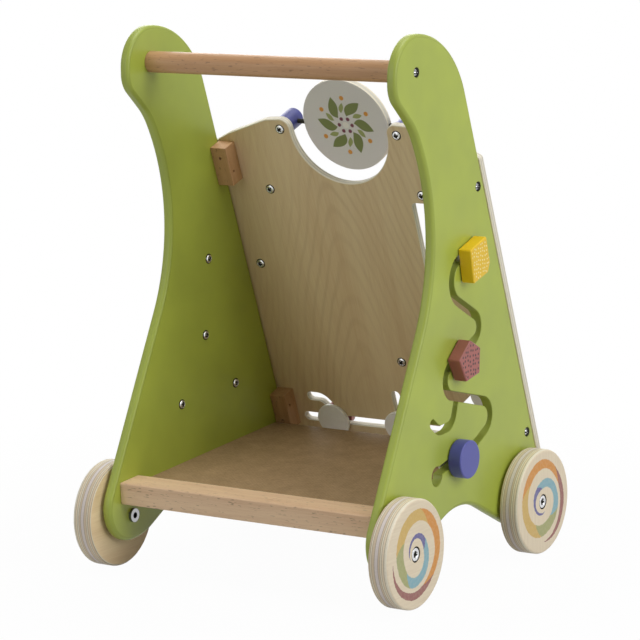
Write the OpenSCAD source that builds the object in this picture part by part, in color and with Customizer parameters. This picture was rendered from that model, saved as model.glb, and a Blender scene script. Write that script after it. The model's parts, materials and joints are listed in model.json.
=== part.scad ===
// Baby push walker: two painted side panels, a leaning activity board, a tray, a push handle, four wheels,
// a flip-over disc, slot sliders, bead rails and a train of play gears.
// Millimetres. +Z is up, +Y is the way it rolls and +X is to the right of the child who pushes it.
// The origin lies on the floor, in the middle between the four wheels.

/* [Body] */
// Width over the outer faces of the two side panels
body_w = 269; // [240:1:300]
// Thickness of a side panel
side_t = 9; // [7:0.5:12]
// Height of the side panels' heads above the floor
side_h = 456; // [440:1:480]
// Height of the side panels' feet above the floor
foot_z = 23.5; // [18:0.5:28]
// Rounding of a foot
foot_r = 30; // [24:1:33]
// Distance of the rear foot's corner behind the middle, before it is rounded
rear_foot_y = 155.5; // [148:0.5:160]
// Height of the arch between the feet, before it is rounded
arch_z = 69; // [60:1:76]
// Half length of the arch between the feet
arch_half = 89; // [80:1:92]
// Distance of the waist's corner behind the middle, before it is rounded
waist_y = 15.8; // [8:0.2:20]
// Height of the waist
waist_z = 292; // [280:1:300]
// Rounding of the waist
waist_r = 168; // [120:2:176]
// Distance of the head's back edge behind the middle
head_back = 94.7; // [88:0.1:100]
// Length of the head's back edge, before its corners are rounded
head_side = 48.6; // [46:0.1:54]
// Distance of the neck's corner in front of the head's back edge
neck_in = 29.4; // [26:0.1:32]
// Distance of the neck's corner below the top of the head
neck_drop = 75.4; // [72:0.1:80]

/* [Handle] */
// Diameter of the push handle
handle_d = 18; // [14:0.5:24]
// Distance of the handle's axis behind the middle
handle_back = 62.3; // [55:0.1:68]
// Distance of the handle's axis below the top of the heads
handle_drop = 30.2; // [25:0.1:36]

/* [Activity board] */
// Lean of the board from upright, in degrees
board_tilt = 20; // [16:0.5:22]
// Thickness of the board
board_t = 6.5; // [5:0.5:9]
// Distance of the board's rear face in front of the middle, at floor level
board_foot_y = 162; // [156:0.5:164]
// Height of the board's lower edge, measured up its slope
board_low = 70; // [66:1:78]
// Height of the board's outer top corners, measured up its slope
board_side_top = 369; // [364:1:374]
// Height of the shoulders beside the flip-over disc, measured up its slope
shoulder_s = 396; // [392:1:402]
// Radius of the round cut-out under the flip-over disc
cutout_r = 48.4; // [46:0.2:49]
// Distance of the window's outer edge from the board's side edge
window_edge = 23.5; // [20:0.5:28]
// Width of the window
window_w = 52; // [30:1:58]
// Lower edge of the window, measured up the slope
window_low = 243; // [236:1:270]
// Upper edge of the window, measured up the slope
window_high = 322.8; // [310:0.2:325]
// Height of the level slot, measured up the slope
level_slot_s = 97; // [94:0.5:100]
// Distance of the level slot's ends from the board's side edges, to the centres of the ends
level_slot_edge = 36; // [33:0.5:42]
// Width of the board's slots
board_slot_w = 8.5; // [8:0.1:10]

/* [Flip-over disc] */
// Diameter of the disc
disc_d = 84.4; // [76:0.2:86]
// Thickness of the disc
disc_t = 6.5; // [5:0.5:9]
// Height of the disc's axis, measured up the board's slope
disc_s = 386; // [384:0.5:388]
// Diameter of the dowel posts that carry the disc
post_d = 17; // [16:0.5:19]
// Length of a dowel post, from the board to its free end
post_l = 19; // [16:0.5:24]
// Distance of the disc's axis from the board's front face
axis_off = 10.7; // [10:0.1:12]
// Gap between the disc's rim and a post
post_gap = 7.7; // [6:0.1:9]
// Diameter of the disc's pins
pin_d = 4; // [3:0.2:4.4]

/* [Tray] */
// Height of the tray's upper face above the floor, at the middle
tray_z = 77.8; // [75:0.2:80]
// Rise of the tray to the front, in degrees
tray_tilt = 3.8; // [1:0.2:4.6]
// Thickness of the tray board
tray_t = 4; // [3:0.5:5]
// Gap between the tray's front edge and the lower corner blocks
tray_clear = 1.2; // [0.8:0.1:3]
// Depth of the rear rail
rail_d = 27; // [20:0.5:30]
// Height of the rear rail
rail_h = 19; // [17:0.5:20]
// Distance of the rear rail's back face behind the middle
rail_back = 122; // [116:0.5:124]
// Height of the rear rail's upper face above the tray
rail_lip = 6.5; // [4:0.5:8]
// Depth of the ledge under the tray's rear edge
ledge_d = 6; // [4:0.5:10]
// Width and height of the rail under the tray's front edge
front_rail_w = 16; // [14:0.5:18]
// Distance of the front rail's front face behind the tray's front edge
front_rail_inset = 2.5; // [0:0.5:8]

/* [Corner blocks] */
// Width of a block, across the walker
block_w = 16; // [13:0.5:18]
// Depth of a block, square to the board
block_d = 15; // [13:0.5:18]
// Length of a block, along the board
block_l = 36; // [30:0.5:38]
// Lower end of the upper blocks, measured up the board's slope
upper_block_s = 336; // [328:0.5:338]
// Upper end of the lower blocks, measured up the board's slope
lower_block_top = 124.5; // [120:0.5:128]

/* [Wheels] */
// Diameter of a wheel
wheel_d = 90; // [80:1:100]
// Thickness of a wheel
wheel_t = 18; // [14:0.5:20]
// Distance between the front and rear axles
wheelbase = 210; // [200:1:216]
// Gap between a wheel and its side panel
wheel_gap = 2.5; // [2:0.1:4]
// Rounding of a wheel's rims
wheel_edge = 2; // [1:0.1:3]
// Diameter of the sleeve that a wheel turns on
axle_d = 8; // [6:0.5:10]

/* [Slot sliders] */
// Width of the slots
slot_w = 8; // [7:0.1:9]
// Diameter of the round hole that the winding slot ends in
slot_hole_d = 16.6; // [15:0.2:18]
// Diameter of a slider's peg
peg_d = 7; // [5:0.1:7]
// Thickness of a knob on the right side panel
knob_t = 12.2; // [9:0.1:14]
// Diameter of the round blue knob
blue_knob_d = 32; // [26:0.5:36]
// Thickness of a knob on the front of the board
board_knob_t = 9; // [7:0.5:9.5]
// Diameter of a knob on the front of the board
board_knob_d = 26; // [20:0.5:30]
// Diameter of a retaining disc behind the board
retainer_d = 32; // [26:0.5:33]
// Diameter of a retaining disc inside the right side panel
side_retainer_d = 24; // [18:0.5:28]
// Thickness of a retaining disc
retainer_t = 3.4; // [2.5:0.1:4]
// Gap between a sliding piece and the panel it slides on
slide_gap = 0.7; // [0.4:0.1:1]

/* [Play gears] */
// Number of teeth on each gear
gear_teeth = 12; // [10:1:16]
// Pitch diameter of each gear, which is also the distance between meshed gears
gear_pitch_d = 66.6; // [60:0.2:68]
// Thickness of a gear
gear_t = 9; // [6:0.5:12]
// Gap between a gear and the side panel
gear_gap = 1.2; // [0.6:0.1:2]
// Play between meshed teeth
gear_play = 1; // [0.6:0.1:1.6]
// Diameter of the sleeve that a gear turns on
gear_axle_d = 8; // [6:0.5:10]

/* [Bead rails] */
// Distance between the two screws of a bead rail
bead_span = 154; // [140:1:160]
// Diameter of the end posts
bead_post_d = 15; // [14:0.5:16]
// Length of an end post, from the board to its free end
bead_post_l = 19; // [16:0.5:24]
// Distance of the rod's axis from the board's front face
rod_off = 8.7; // [8.4:0.1:10]
// Diameter of the rod
bead_rod_d = 5; // [4:0.2:6]
// Diameter of a bead
bead_d = 15.6; // [12:0.2:16]
// Length of a bead
bead_l = 20; // [14:0.5:24]
// Free length of rod between the two beads of the sloping rail
bead_share = 21; // [4:1:40]
// Distance of the level rail's left screw from the left side panel
level_rail_in = 42.5; // [38:0.5:48]
// Height of the level rail's left screw, measured up the board's slope
level_rail_s = 327.3; // [327:0.1:330]
// Rise of the level rail, in degrees
level_rail_rise = 1.2; // [0:0.1:2]
// Distance of the sloping rail's left screw from the left side panel
slope_rail_in = 13.5; // [10:0.5:24]
// Height of the sloping rail's left screw, measured up the board's slope
slope_rail_s = 252; // [246:0.5:258]
// Fall of the sloping rail, in degrees
slope_rail_fall = 34.9; // [30:0.1:38]

/* [Hidden] */
// Fits and fasteners
run_gap = 0.06;
fit_gap = 0.05;
face_gap = 0.3;
screw_d = 3.4;
screw_head_d = 8;
screw_head_h = 2.4;
pan_head_d = 8.6;
pan_head_h = 1.8;
cross_w = 1;
cross_depth = 1.1;
pilot_d = 2.4;
bolt_d = 5;
bolt_head_d = 11;
bolt_head_h = 3.2;
bolt_l = 18;
bolt_inset = 0.5;
hex_d = 5;
hex_depth = 2;
nut_head_d = 12;
nut_head_h = 2.6;
hub_recess_d = 13;
washer_d = 16;
gear_cap_d = 14;
gear_cap_h = 3;
gear_screw_d = 4;
gear_screw_l = 16;
handle_screw_l = 34;
side_screw_l = 20;
rail_screw_l = 30;
board_screw_l = 18;
post_screw_depth = 7.5;
pin_in_disc = 10;
pin_in_post = 6;
rod_in_post = 5;
peg_in_knob = 7;
board_peg_in_knob = 6;

// Shares of the head's back edge and of its top edge that are taken by its roundings
back_share = 0.7;
top_share = 0.987;

// Left branch of the level slot: how far in from its end it starts, bends and ends, and how high it rises
branch_from = 38.5;
branch_bend = 19;
branch_end = 7.5;
branch_rise = 21.4;
// Right branch, measured in the same way; it ends beyond the level slot's end
right_from = 57.4;
right_bend = 12.1;
right_end = -2.5;
right_rise = 41.7;
prong_rise = 31.5;
// Distances of the left and right sliders from the level slot's ends
left_knob_in = 28;
right_knob_in = 2.2;

// Values that follow from the sizes above
inner_w = body_w - 2 * side_t;
outer_x = body_w / 2;
inner_x = inner_w / 2;
axle_y = wheelbase / 2;
axle_z = wheel_d / 2;
handle_z = side_h - handle_drop;
post_off = board_t + axis_off;
post_x = disc_d / 2 + post_gap + post_d / 2;
bead_off = board_t + rod_off;
tray_front = (board_foot_y * cos(board_tilt) - tray_z * sin(board_tilt) - block_d - tray_clear)
    / cos(board_tilt - tray_tilt);
tray_rear = rail_d - rail_back;
front_rail_y = tray_front - front_rail_inset;
level_slot_half = outer_x - level_slot_edge;
window_x = outer_x - window_edge - window_w;
hub_recess = bolt_head_h + bolt_inset + face_gap;
gear_m = gear_pitch_d / gear_teeth;
tooth_step = 360 / gear_teeth;

// Angle between the points of a rounded corner
arc_step = 6;
$fn = 64;

// Colours, as painted
green = "#a6b45f";
beech = "#c08f66";
birch = "#d9c59c";
hardboard = "#8a6f4f";
yellow = "#e0b93c";
red_brown = "#a5696c";
blue_violet = "#6768a3";
pale_grey = "#b4b2ae";
steel = "#c4c6c8";

// Places on the leaning board and on the tray, as [y, z]
function front_y(z) = board_foot_y - z * tan(board_tilt);
function board_pt(s, off) = [
    board_foot_y - s * sin(board_tilt) + off * cos(board_tilt),
    s * cos(board_tilt) + off * sin(board_tilt)
];
function tray_pt(y, h) = [
    y * cos(tray_tilt) - h * sin(tray_tilt),
    tray_z + y * sin(tray_tilt) + h * cos(tray_tilt)
];

// Points of the arc of radius r that rounds the corner b between a and c
function unit(v) = v / norm(v);
function corner_arc(a, b, c, r) = let (
    u = unit(a - b),
    v = unit(c - b),
    half = acos(u * v) / 2,
    ctr = b + unit(u + v) * r / sin(half),
    p = b + u * r / tan(half) - ctr,
    q = b + v * r / tan(half) - ctr,
    start = atan2(p[1], p[0]),
    sweep = (atan2(q[1], q[0]) - start + 540) % 360 - 180,
    n = max(2, ceil(abs(sweep) / arc_step))
) [for (i = [0:n]) ctr + r * [cos(start + sweep * i / n), sin(start + sweep * i / n)]];
function xy(p) = [p[0], p[1]];

// Corners are [x, y, radius]; a radius of 0 leaves a corner sharp
function round_corner(a, b, c) = b[2] > 0 ? corner_arc(xy(a), xy(b), xy(c), b[2]) : [xy(b)];
function rounded(p) = let (n = len(p))
    [for (i = [0:n - 1]) each round_corner(p[(i + n - 1) % n], p[i], p[(i + 1) % n])];
function rounded_path(p) = let (n = len(p))
    [xy(p[0]), for (i = [1:n - 2]) each round_corner(p[i - 1], p[i], p[i + 1]), xy(p[n - 1])];

// Outline of a slot of width w with round ends along an open path
function turned(v) = [-v[1], v[0]];
function heading(p, i) = unit(p[min(i + 1, len(p) - 1)] - p[max(i - 1, 0)]);
function end_arc(p, d, w) = let (a = atan2(d[1], d[0]))
    [for (k = [1:9]) p + w / 2 * [cos(a + 90 - 18 * k), sin(a + 90 - 18 * k)]];
function slot_outline(p, w) = let (n = len(p)) concat(
    [for (i = [0:n - 1]) p[i] + w / 2 * turned(heading(p, i))],
    end_arc(p[n - 1], heading(p, n - 1), w),
    [for (i = [n - 1:-1:0]) p[i] - w / 2 * turned(heading(p, i))],
    end_arc(p[0], -heading(p, 0), w)
);

// The head's roundings fill its top edge
head_w = front_y(side_h) + head_back;
head_rear_r = back_share * head_side;
head_front_r = top_share * (head_w - head_rear_r) * tan(45 + board_tilt / 2);

// Side panel outline as [y, z, radius], from the rear foot forwards and back over the head
side_corners = [
    [-rear_foot_y, foot_z, foot_r],
    [-arch_half, foot_z, 60],
    [0, arch_z, 71],
    [arch_half, foot_z, 60],
    [front_y(foot_z), foot_z, foot_r],
    [front_y(side_h), side_h, head_front_r],
    [-head_back, side_h, head_rear_r],
    [-head_back, side_h - head_side, 22],
    [-head_back + neck_in, side_h - neck_drop, 60],
    [-waist_y, waist_z, waist_r]
];

// Winding slot of the right side panel and its side branch, as [y, z, radius].
// It starts with an arc of arc_r about arc_c, where the yellow knob sits.
arc_c = [8.4, 249.3];
arc_r = 19;
arc_from = 61;
arc_to = 241;
yellow_at = arc_c + arc_r * [cos(arc_from), sin(arc_from)];
red_leg = [[48.5, 206], [-50.5, 166]];
blue_leg = [[26.5, 109.3], [-40, 95]];
winding = concat(
    [for (a = [arc_from:arc_step:arc_to]) concat(arc_c + arc_r * [cos(a), sin(a)], 0)],
    [
        concat(red_leg[0], 11.5),
        concat(red_leg[1], 13),
        [75.5, 133.3, 13.4],
        concat(blue_leg[0], 40),
        blue_leg[1]
    ]
);
slot_hole_at = [-37, 93];
side_branch = [[-4, 153.6], [-12, 131.5, 12], [-33, 130, 14], [-42.8, 137.6]];
red_at = red_leg[0] + 0.505 * (red_leg[1] - red_leg[0]);
blue_at = blue_leg[0] + 0.474 * (blue_leg[1] - blue_leg[0]);

// Outlines of the two five-sided knobs about their pegs, as [y, z, radius]
yellow_corners = [[7, 18.5, 1.5], [-19, 10, 1.5], [-13.5, -18.5, 1.5], [9.5, -12, 1.5], [13, -4, 1.5]];
red_corners = [[-1, 16, 1.5], [-19, 1.5, 1.5], [-8, -17.5, 1.5], [13.5, -13.5, 1.5], [15, 7.5, 1.5]];

// Board outline as [x, s, radius] on its right half, from the bottom up to the cut-out
board_half = [
    [outer_x, board_low, 5],
    [outer_x, board_side_top, 3],
    [outer_x - 20.5, board_side_top + 10.5, 40],
    [cutout_r + 23.6, shoulder_s - 1.5, 25],
    [cutout_r, shoulder_s, 9],
    [cutout_r, disc_s, 0]
];
board_corners = concat(
    board_half,
    [for (i = [len(board_half) - 1:-1:0]) [-board_half[i][0], board_half[i][1], board_half[i][2]]]
);

// Branches of the board's slots, as [x, s, radius]; the left one is laid out on the right half
left_branch = [
    [level_slot_half - branch_end, level_slot_s + branch_rise],
    [level_slot_half - branch_bend, level_slot_s + branch_rise, 12],
    [level_slot_half - branch_from, level_slot_s]
];
right_branch = [
    [level_slot_half - right_end, level_slot_s + right_rise],
    [level_slot_half - right_bend, level_slot_s + right_rise, 6],
    [level_slot_half - right_from, level_slot_s]
];
level_slot = [[-level_slot_half, level_slot_s], [level_slot_half, level_slot_s]];
middle_prong = [[0, level_slot_s], [0, level_slot_s + prong_rise]];
board_knob_at = [
    [left_knob_in - level_slot_half, level_slot_s],
    [0, level_slot_s],
    [level_slot_half - right_knob_in, level_slot_s + right_rise]
];

// Bead rails, as the place of their left screw [x, s] and their slope
upper_rail = [level_rail_in - inner_x, level_rail_s, level_rail_rise];
lower_rail = [slope_rail_in - inner_x, slope_rail_s, -slope_rail_fall];
bead_rails = [upper_rail, lower_rail];

// Gear places on the left side panel, as [y, z]: three gears round the middle one
gear_mid = [8, 182];
gear_dirs = [84, 235.3, 311.5];
function gear_at(k) = k < 0 ? gear_mid : gear_mid + gear_pitch_d * [cos(gear_dirs[k]), sin(gear_dirs[k])];
// A gear in direction d from the middle gear is turned so that its teeth meet the middle one's gaps
function gear_phase(k) = k < 0 ? 0 : 2 * gear_dirs[k] + 180 - tooth_step / 2;

// Screws through each side panel, as [y, z]
lower_block_s = lower_block_top - block_l;
block_screw_off = -0.66 * block_d;
side_block_screws = [
    board_pt(upper_block_s + 12, block_screw_off),
    board_pt(lower_block_top - 12, block_screw_off)
];
rail_screws_at = [
    tray_pt(-rail_back + rail_d / 2, rail_lip - rail_h / 2),
    tray_pt(front_rail_y - front_rail_w / 2, -tray_t - front_rail_w / 2)
];
handle_at = [-handle_back, handle_z];
block_front_s = [upper_block_s + block_l - 10, lower_block_s + 10];
block_x = inner_x - block_w / 2;

// Frames: a side panel's outer face, the board with its normal to the rear, and the tray
module at_side(side, yz) {
    translate([side * outer_x, yz[0], yz[1]])
        rotate([0, side * 90, 0])
            children();
}
module on_board(x = 0, s = 0, off = 0) {
    translate([0, board_foot_y, 0])
        rotate([90 + board_tilt, 0, 0])
            translate([x, s, -off])
                children();
}
module on_tray() {
    translate([0, 0, tray_z])
        rotate([tray_tilt, 0, 0])
            children();
}
module on_rail(rail) {
    on_board(rail[0], rail[1], bead_off)
        rotate([0, 0, rail[2]])
            rotate([0, 90, 0])
                children();
}
module side_extrude(x, t) {
    translate([x, 0, 0])
        rotate([90, 0, 90])
            linear_extrude(t)
                children();
}

// Fasteners point down from z = 0, where a countersunk head ends flush and a pan head stands proud
module cross_recess(top) {
    for (a = [0, 90])
        rotate(a)
            translate([-cross_w * 2, -cross_w / 2, top - cross_depth])
                cube([cross_w * 4, cross_w, cross_depth + 1]);
}
module countersunk(l, grow = 0) {
    translate([0, 0, -screw_head_h])
        cylinder(h = screw_head_h + grow, d1 = screw_d + 2 * grow, d2 = screw_head_d + 2 * grow);
    translate([0, 0, -l - grow])
        cylinder(h = l, d = screw_d + 2 * grow);
}
module countersunk_screw(l) {
    difference() {
        countersunk(l);
        cross_recess(0);
    }
}
module pan_screw(l, d, head_d) {
    difference() {
        union() {
            cylinder(h = pan_head_h * 0.55, d = head_d);
            translate([0, 0, pan_head_h * 0.55])
                cylinder(h = pan_head_h * 0.45, d1 = head_d, d2 = head_d * 0.6);
            translate([0, 0, -l])
                cylinder(h = l + pan_head_h / 2, d = d);
        }
        cross_recess(pan_head_h);
    }
}

// Side panels
module panel_blank(side) {
    side_extrude(side > 0 ? inner_x : -outer_x, side_t)
        polygon(rounded(side_corners));
}
module panel_screw_holes(side) {
    for (p = concat([handle_at], side_block_screws, rail_screws_at))
        at_side(side, p)
            countersunk(side_t + 1, fit_gap);
    for (end = [-1, 1])
        at_side(side, [end * axle_y, axle_z])
            translate([0, 0, -side_t - 1])
                cylinder(h = side_t + 2, d = axle_d + 2 * fit_gap);
}
module side_panel_left() {
    color(green)
        difference() {
            panel_blank(-1);
            panel_screw_holes(-1);
            for (k = [-1:2])
                at_side(-1, gear_at(k))
                    translate([0, 0, -side_t - 1])
                        cylinder(h = side_t + 2, d = gear_screw_d + 2 * fit_gap);
        }
}
module side_panel_right() {
    color(green)
        difference() {
            panel_blank(1);
            panel_screw_holes(1);
            side_extrude(inner_x - 1, side_t + 2)
                polygon(slot_outline(rounded_path(winding), slot_w));
            side_extrude(inner_x - 1, side_t + 2)
                translate(slot_hole_at)
                    circle(d = slot_hole_d);
            side_extrude(inner_x - 1, side_t + 2)
                polygon(slot_outline(rounded_path(side_branch), slot_w));
        }
}

// Handle
module handle_bar() {
    color(beech)
        difference() {
            translate([-inner_x, handle_at[0], handle_at[1]])
                rotate([0, 90, 0])
                    cylinder(h = inner_w, d = handle_d);
            for (side = [-1, 1])
                at_side(side, handle_at)
                    countersunk(handle_screw_l + 1, fit_gap);
        }
}
module handle_screws() {
    color(steel)
        for (side = [-1, 1])
            at_side(side, handle_at)
                countersunk_screw(handle_screw_l);
}

// Activity board
module board_plan() {
    difference() {
        polygon(rounded(board_corners));
        translate([0, disc_s])
            circle(r = cutout_r, $fn = 128);
        polygon(rounded([
            [window_x, window_low, 4],
            [window_x + window_w, window_low, 4],
            [window_x + window_w, window_high, 4],
            [window_x, window_high, 4]
        ]));
        polygon(slot_outline(level_slot, board_slot_w));
        polygon(slot_outline(middle_prong, board_slot_w));
        mirror([1, 0])
            polygon(slot_outline(rounded_path(left_branch), board_slot_w));
        polygon(slot_outline(rounded_path(right_branch), board_slot_w));
    }
}
module board_screw_hole(x, s, d) {
    on_board(x, s, board_t + 1)
        cylinder(h = board_t + 2, d = d + 2 * fit_gap);
}
module front_board() {
    color(birch)
        difference() {
            on_board(0, 0, board_t)
                linear_extrude(board_t)
                    board_plan();
            for (side = [-1, 1])
                board_screw_hole(side * post_x, disc_s, screw_d);
            for (rail = bead_rails, end = [0, 1])
                on_rail(rail)
                    translate([0, 0, end * bead_span])
                        rotate([0, -90, 0])
                            cylinder(h = bead_off + 1, d = screw_d + 2 * fit_gap);
            for (side = [-1, 1], s = block_front_s)
                on_board(side * block_x, s, board_t)
                    rotate([180, 0, 0])
                        countersunk(board_t + 1, fit_gap);
        }
}

// Corner blocks between the side panels and the board
module corner_block(side, upper) {
    s_low = upper ? upper_block_s : lower_block_s;
    k = upper ? 0 : 1;
    color(beech)
        difference() {
            on_board(side * block_x - block_w / 2, s_low)
                cube([block_w, block_l, block_d]);
            at_side(side, side_block_screws[k])
                countersunk(side_screw_l + 0.5, fit_gap);
            at_side(side, side_block_screws[k])
                translate([0, 0, -side_t - block_w - 1])
                    cylinder(h = block_w + 2, d = pilot_d);
            on_board(side * block_x, block_front_s[k], board_t)
                rotate([180, 0, 0])
                    countersunk(board_screw_l + 0.5, fit_gap);
            on_board(side * block_x, block_front_s[k], 1)
                cylinder(h = block_d + 2, d = pilot_d);
        }
}
module corner_block_upper_left() corner_block(-1, true);
module corner_block_upper_right() corner_block(1, true);
module corner_block_lower_left() corner_block(-1, false);
module corner_block_lower_right() corner_block(1, false);
module block_side_screws() {
    color(steel)
        for (side = [-1, 1], p = side_block_screws)
            at_side(side, p)
                countersunk_screw(side_screw_l);
}
module block_front_screws() {
    color(steel)
        for (side = [-1, 1], s = block_front_s)
            on_board(side * block_x, s, board_t)
                rotate([180, 0, 0])
                    countersunk_screw(board_screw_l);
}

// Tray and its rails
module rear_rail() {
    color(beech)
        difference() {
            on_tray()
                side_extrude(-inner_x, inner_w)
                    polygon([
                        [-rail_back, rail_lip - rail_h],
                        [tray_rear + ledge_d, rail_lip - rail_h],
                        [tray_rear + ledge_d, -tray_t],
                        [tray_rear, -tray_t],
                        [tray_rear, rail_lip],
                        [-rail_back, rail_lip]
                    ]);
            for (side = [-1, 1])
                at_side(side, rail_screws_at[0])
                    countersunk(rail_screw_l + 1, fit_gap);
        }
}
module front_rail() {
    color(beech)
        difference() {
            on_tray()
                translate([-inner_x, front_rail_y - front_rail_w, -tray_t - front_rail_w])
                    cube([inner_w, front_rail_w, front_rail_w]);
            for (side = [-1, 1])
                at_side(side, rail_screws_at[1])
                    countersunk(rail_screw_l + 1, fit_gap);
        }
}
module tray_board() {
    color(hardboard)
        on_tray()
            translate([-inner_x + fit_gap, tray_rear + fit_gap, -tray_t])
                cube([inner_w - 2 * fit_gap, tray_front - tray_rear - fit_gap, tray_t]);
}
module rail_screws() {
    color(steel)
        for (side = [-1, 1], p = rail_screws_at)
            at_side(side, p)
                countersunk_screw(rail_screw_l);
}

// Wheels: each turns on the sleeve of its own barrel nut, with a washer inside and a bolt outside
module wheel_blank() {
    rotate_extrude($fn = 128)
        polygon(rounded([
            [axle_d / 2 + run_gap, 0, 0],
            [wheel_d / 2, 0, wheel_edge],
            [wheel_d / 2, wheel_t, wheel_edge],
            [hub_recess_d / 2, wheel_t, 0.6],
            [hub_recess_d / 2, wheel_t - hub_recess, 0],
            [axle_d / 2 + run_gap, wheel_t - hub_recess, 0]
        ]));
}
module at_axle(side, end) {
    at_side(side, [end * axle_y, axle_z])
        children();
}
module wheel(side, end) {
    color(birch)
        at_axle(side, end)
            translate([0, 0, wheel_gap])
                wheel_blank();
}
module wheel_rear_left() wheel(-1, -1);
module wheel_rear_right() wheel(1, -1);
module wheel_front_left() wheel(-1, 1);
module wheel_front_right() wheel(1, 1);

sleeve_end = wheel_gap + wheel_t - hub_recess + face_gap;
module each_axle() {
    for (side = [-1, 1], end = [-1, 1])
        at_axle(side, end)
            children();
}
module wheel_barrel_nuts() {
    color(steel)
        each_axle()
            difference() {
                union() {
                    translate([0, 0, -side_t - nut_head_h])
                        cylinder(h = nut_head_h, d = nut_head_d);
                    translate([0, 0, -side_t - nut_head_h / 2])
                        cylinder(h = side_t + nut_head_h / 2 + sleeve_end, d = axle_d);
                }
                translate([0, 0, sleeve_end - bolt_l - 1])
                    cylinder(h = bolt_l + 2, d = bolt_d + 2 * fit_gap);
                translate([0, 0, -side_t - nut_head_h - 1])
                    cylinder(h = hex_depth + 1, d = hex_d, $fn = 6);
            }
}
module wheel_bolts() {
    color(steel)
        each_axle()
            difference() {
                union() {
                    translate([0, 0, sleeve_end])
                        cylinder(h = bolt_head_h, d = bolt_head_d);
                    translate([0, 0, sleeve_end - bolt_l])
                        cylinder(h = bolt_l + bolt_head_h / 2, d = bolt_d);
                }
                translate([0, 0, sleeve_end + bolt_head_h - hex_depth])
                    cylinder(h = hex_depth + 1, d = hex_d, $fn = 6);
            }
}
module wheel_washers() {
    color(steel)
        each_axle()
            difference() {
                cylinder(h = wheel_gap - face_gap, d = washer_d);
                translate([0, 0, -1])
                    cylinder(h = wheel_gap + 2, d = axle_d + 2 * fit_gap);
            }
}

// Flip-over disc on two pins between dowel posts that stand on the board
module disc_axis(side) {
    on_board(0, disc_s, post_off)
        rotate([0, side * 90, 0])
            children();
}
module spinner_disc() {
    color(pale_grey)
        difference() {
            on_board(0, disc_s, post_off + disc_t / 2)
                cylinder(h = disc_t, d = disc_d, $fn = 128);
            for (side = [-1, 1])
                disc_axis(side)
                    translate([0, 0, disc_d / 2 - pin_in_disc - fit_gap])
                        cylinder(h = pin_in_disc + 2, d = pin_d + 2 * fit_gap);
        }
}
module spinner_pins() {
    color(steel)
        for (side = [-1, 1])
            disc_axis(side)
                translate([0, 0, disc_d / 2 - pin_in_disc])
                    cylinder(h = pin_in_disc + post_gap + pin_in_post, d = pin_d);
}
module spinner_post(side) {
    color(blue_violet)
        difference() {
            on_board(side * post_x, disc_s, board_t + post_l)
                cylinder(h = post_l, d = post_d);
            disc_axis(side)
                translate([0, 0, disc_d / 2])
                    cylinder(h = post_gap + pin_in_post + face_gap, d = pin_d + 2 * run_gap);
            on_board(side * post_x, disc_s, board_t + post_screw_depth + fit_gap)
                cylinder(h = post_screw_depth + 1, d = screw_d + 2 * fit_gap);
        }
}
module spinner_post_left() spinner_post(-1);
module spinner_post_right() spinner_post(1);
module spinner_post_screws() {
    color(steel)
        for (side = [-1, 1])
            on_board(side * post_x, disc_s)
                pan_screw(board_t + post_screw_depth, screw_d, pan_head_d);
}

// Sliders in the right side panel: a knob outside, held by a retaining disc with a peg inside
module slot_knob(at, paint) {
    color(paint)
        difference() {
            side_extrude(outer_x + slide_gap, knob_t)
                translate(at)
                    children();
            side_extrude(outer_x, slide_gap + peg_in_knob + fit_gap)
                translate(at)
                    circle(d = peg_d + 2 * fit_gap);
        }
}
side_peg_l = side_t + 2 * slide_gap + peg_in_knob;
module slot_retainer(at) {
    color(pale_grey)
        union() {
            side_extrude(inner_x - slide_gap - retainer_t, retainer_t)
                translate(at)
                    circle(d = side_retainer_d);
            side_extrude(inner_x - slide_gap - retainer_t / 2, retainer_t / 2 + side_peg_l)
                translate(at)
                    circle(d = peg_d);
        }
}
module slot_knob_yellow() slot_knob(yellow_at, yellow) polygon(rounded(yellow_corners));
module slot_knob_red() slot_knob(red_at, red_brown) polygon(rounded(red_corners));
module slot_knob_blue() slot_knob(blue_at, blue_violet) circle(d = blue_knob_d);
module slot_retainer_yellow() slot_retainer(yellow_at);
module slot_retainer_red() slot_retainer(red_at);
module slot_retainer_blue() slot_retainer(blue_at);

// Sliders in the board's slots: a knob in front, held by a retaining disc with a peg behind
module board_knob(at, paint) {
    color(paint)
        difference() {
            on_board(at[0], at[1], board_t + slide_gap + board_knob_t)
                cylinder(h = board_knob_t, d = board_knob_d);
            on_board(at[0], at[1], board_t + slide_gap + board_peg_in_knob + fit_gap)
                cylinder(h = board_peg_in_knob + 1, d = peg_d + 2 * fit_gap);
        }
}
module board_retainer(at) {
    color(pale_grey)
        union() {
            on_board(at[0], at[1], -slide_gap)
                cylinder(h = retainer_t, d = retainer_d);
            on_board(at[0], at[1], board_t + slide_gap + board_peg_in_knob)
                cylinder(h = board_t + 2 * slide_gap + board_peg_in_knob + retainer_t / 2, d = peg_d);
        }
}
module board_knob_left() board_knob(board_knob_at[0], red_brown);
module board_knob_middle() board_knob(board_knob_at[1], yellow);
module board_knob_right() board_knob(board_knob_at[2], blue_violet);
module board_retainer_left() board_retainer(board_knob_at[0]);
module board_retainer_middle() board_retainer(board_knob_at[1]);
module board_retainer_right() board_retainer(board_knob_at[2]);

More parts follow.
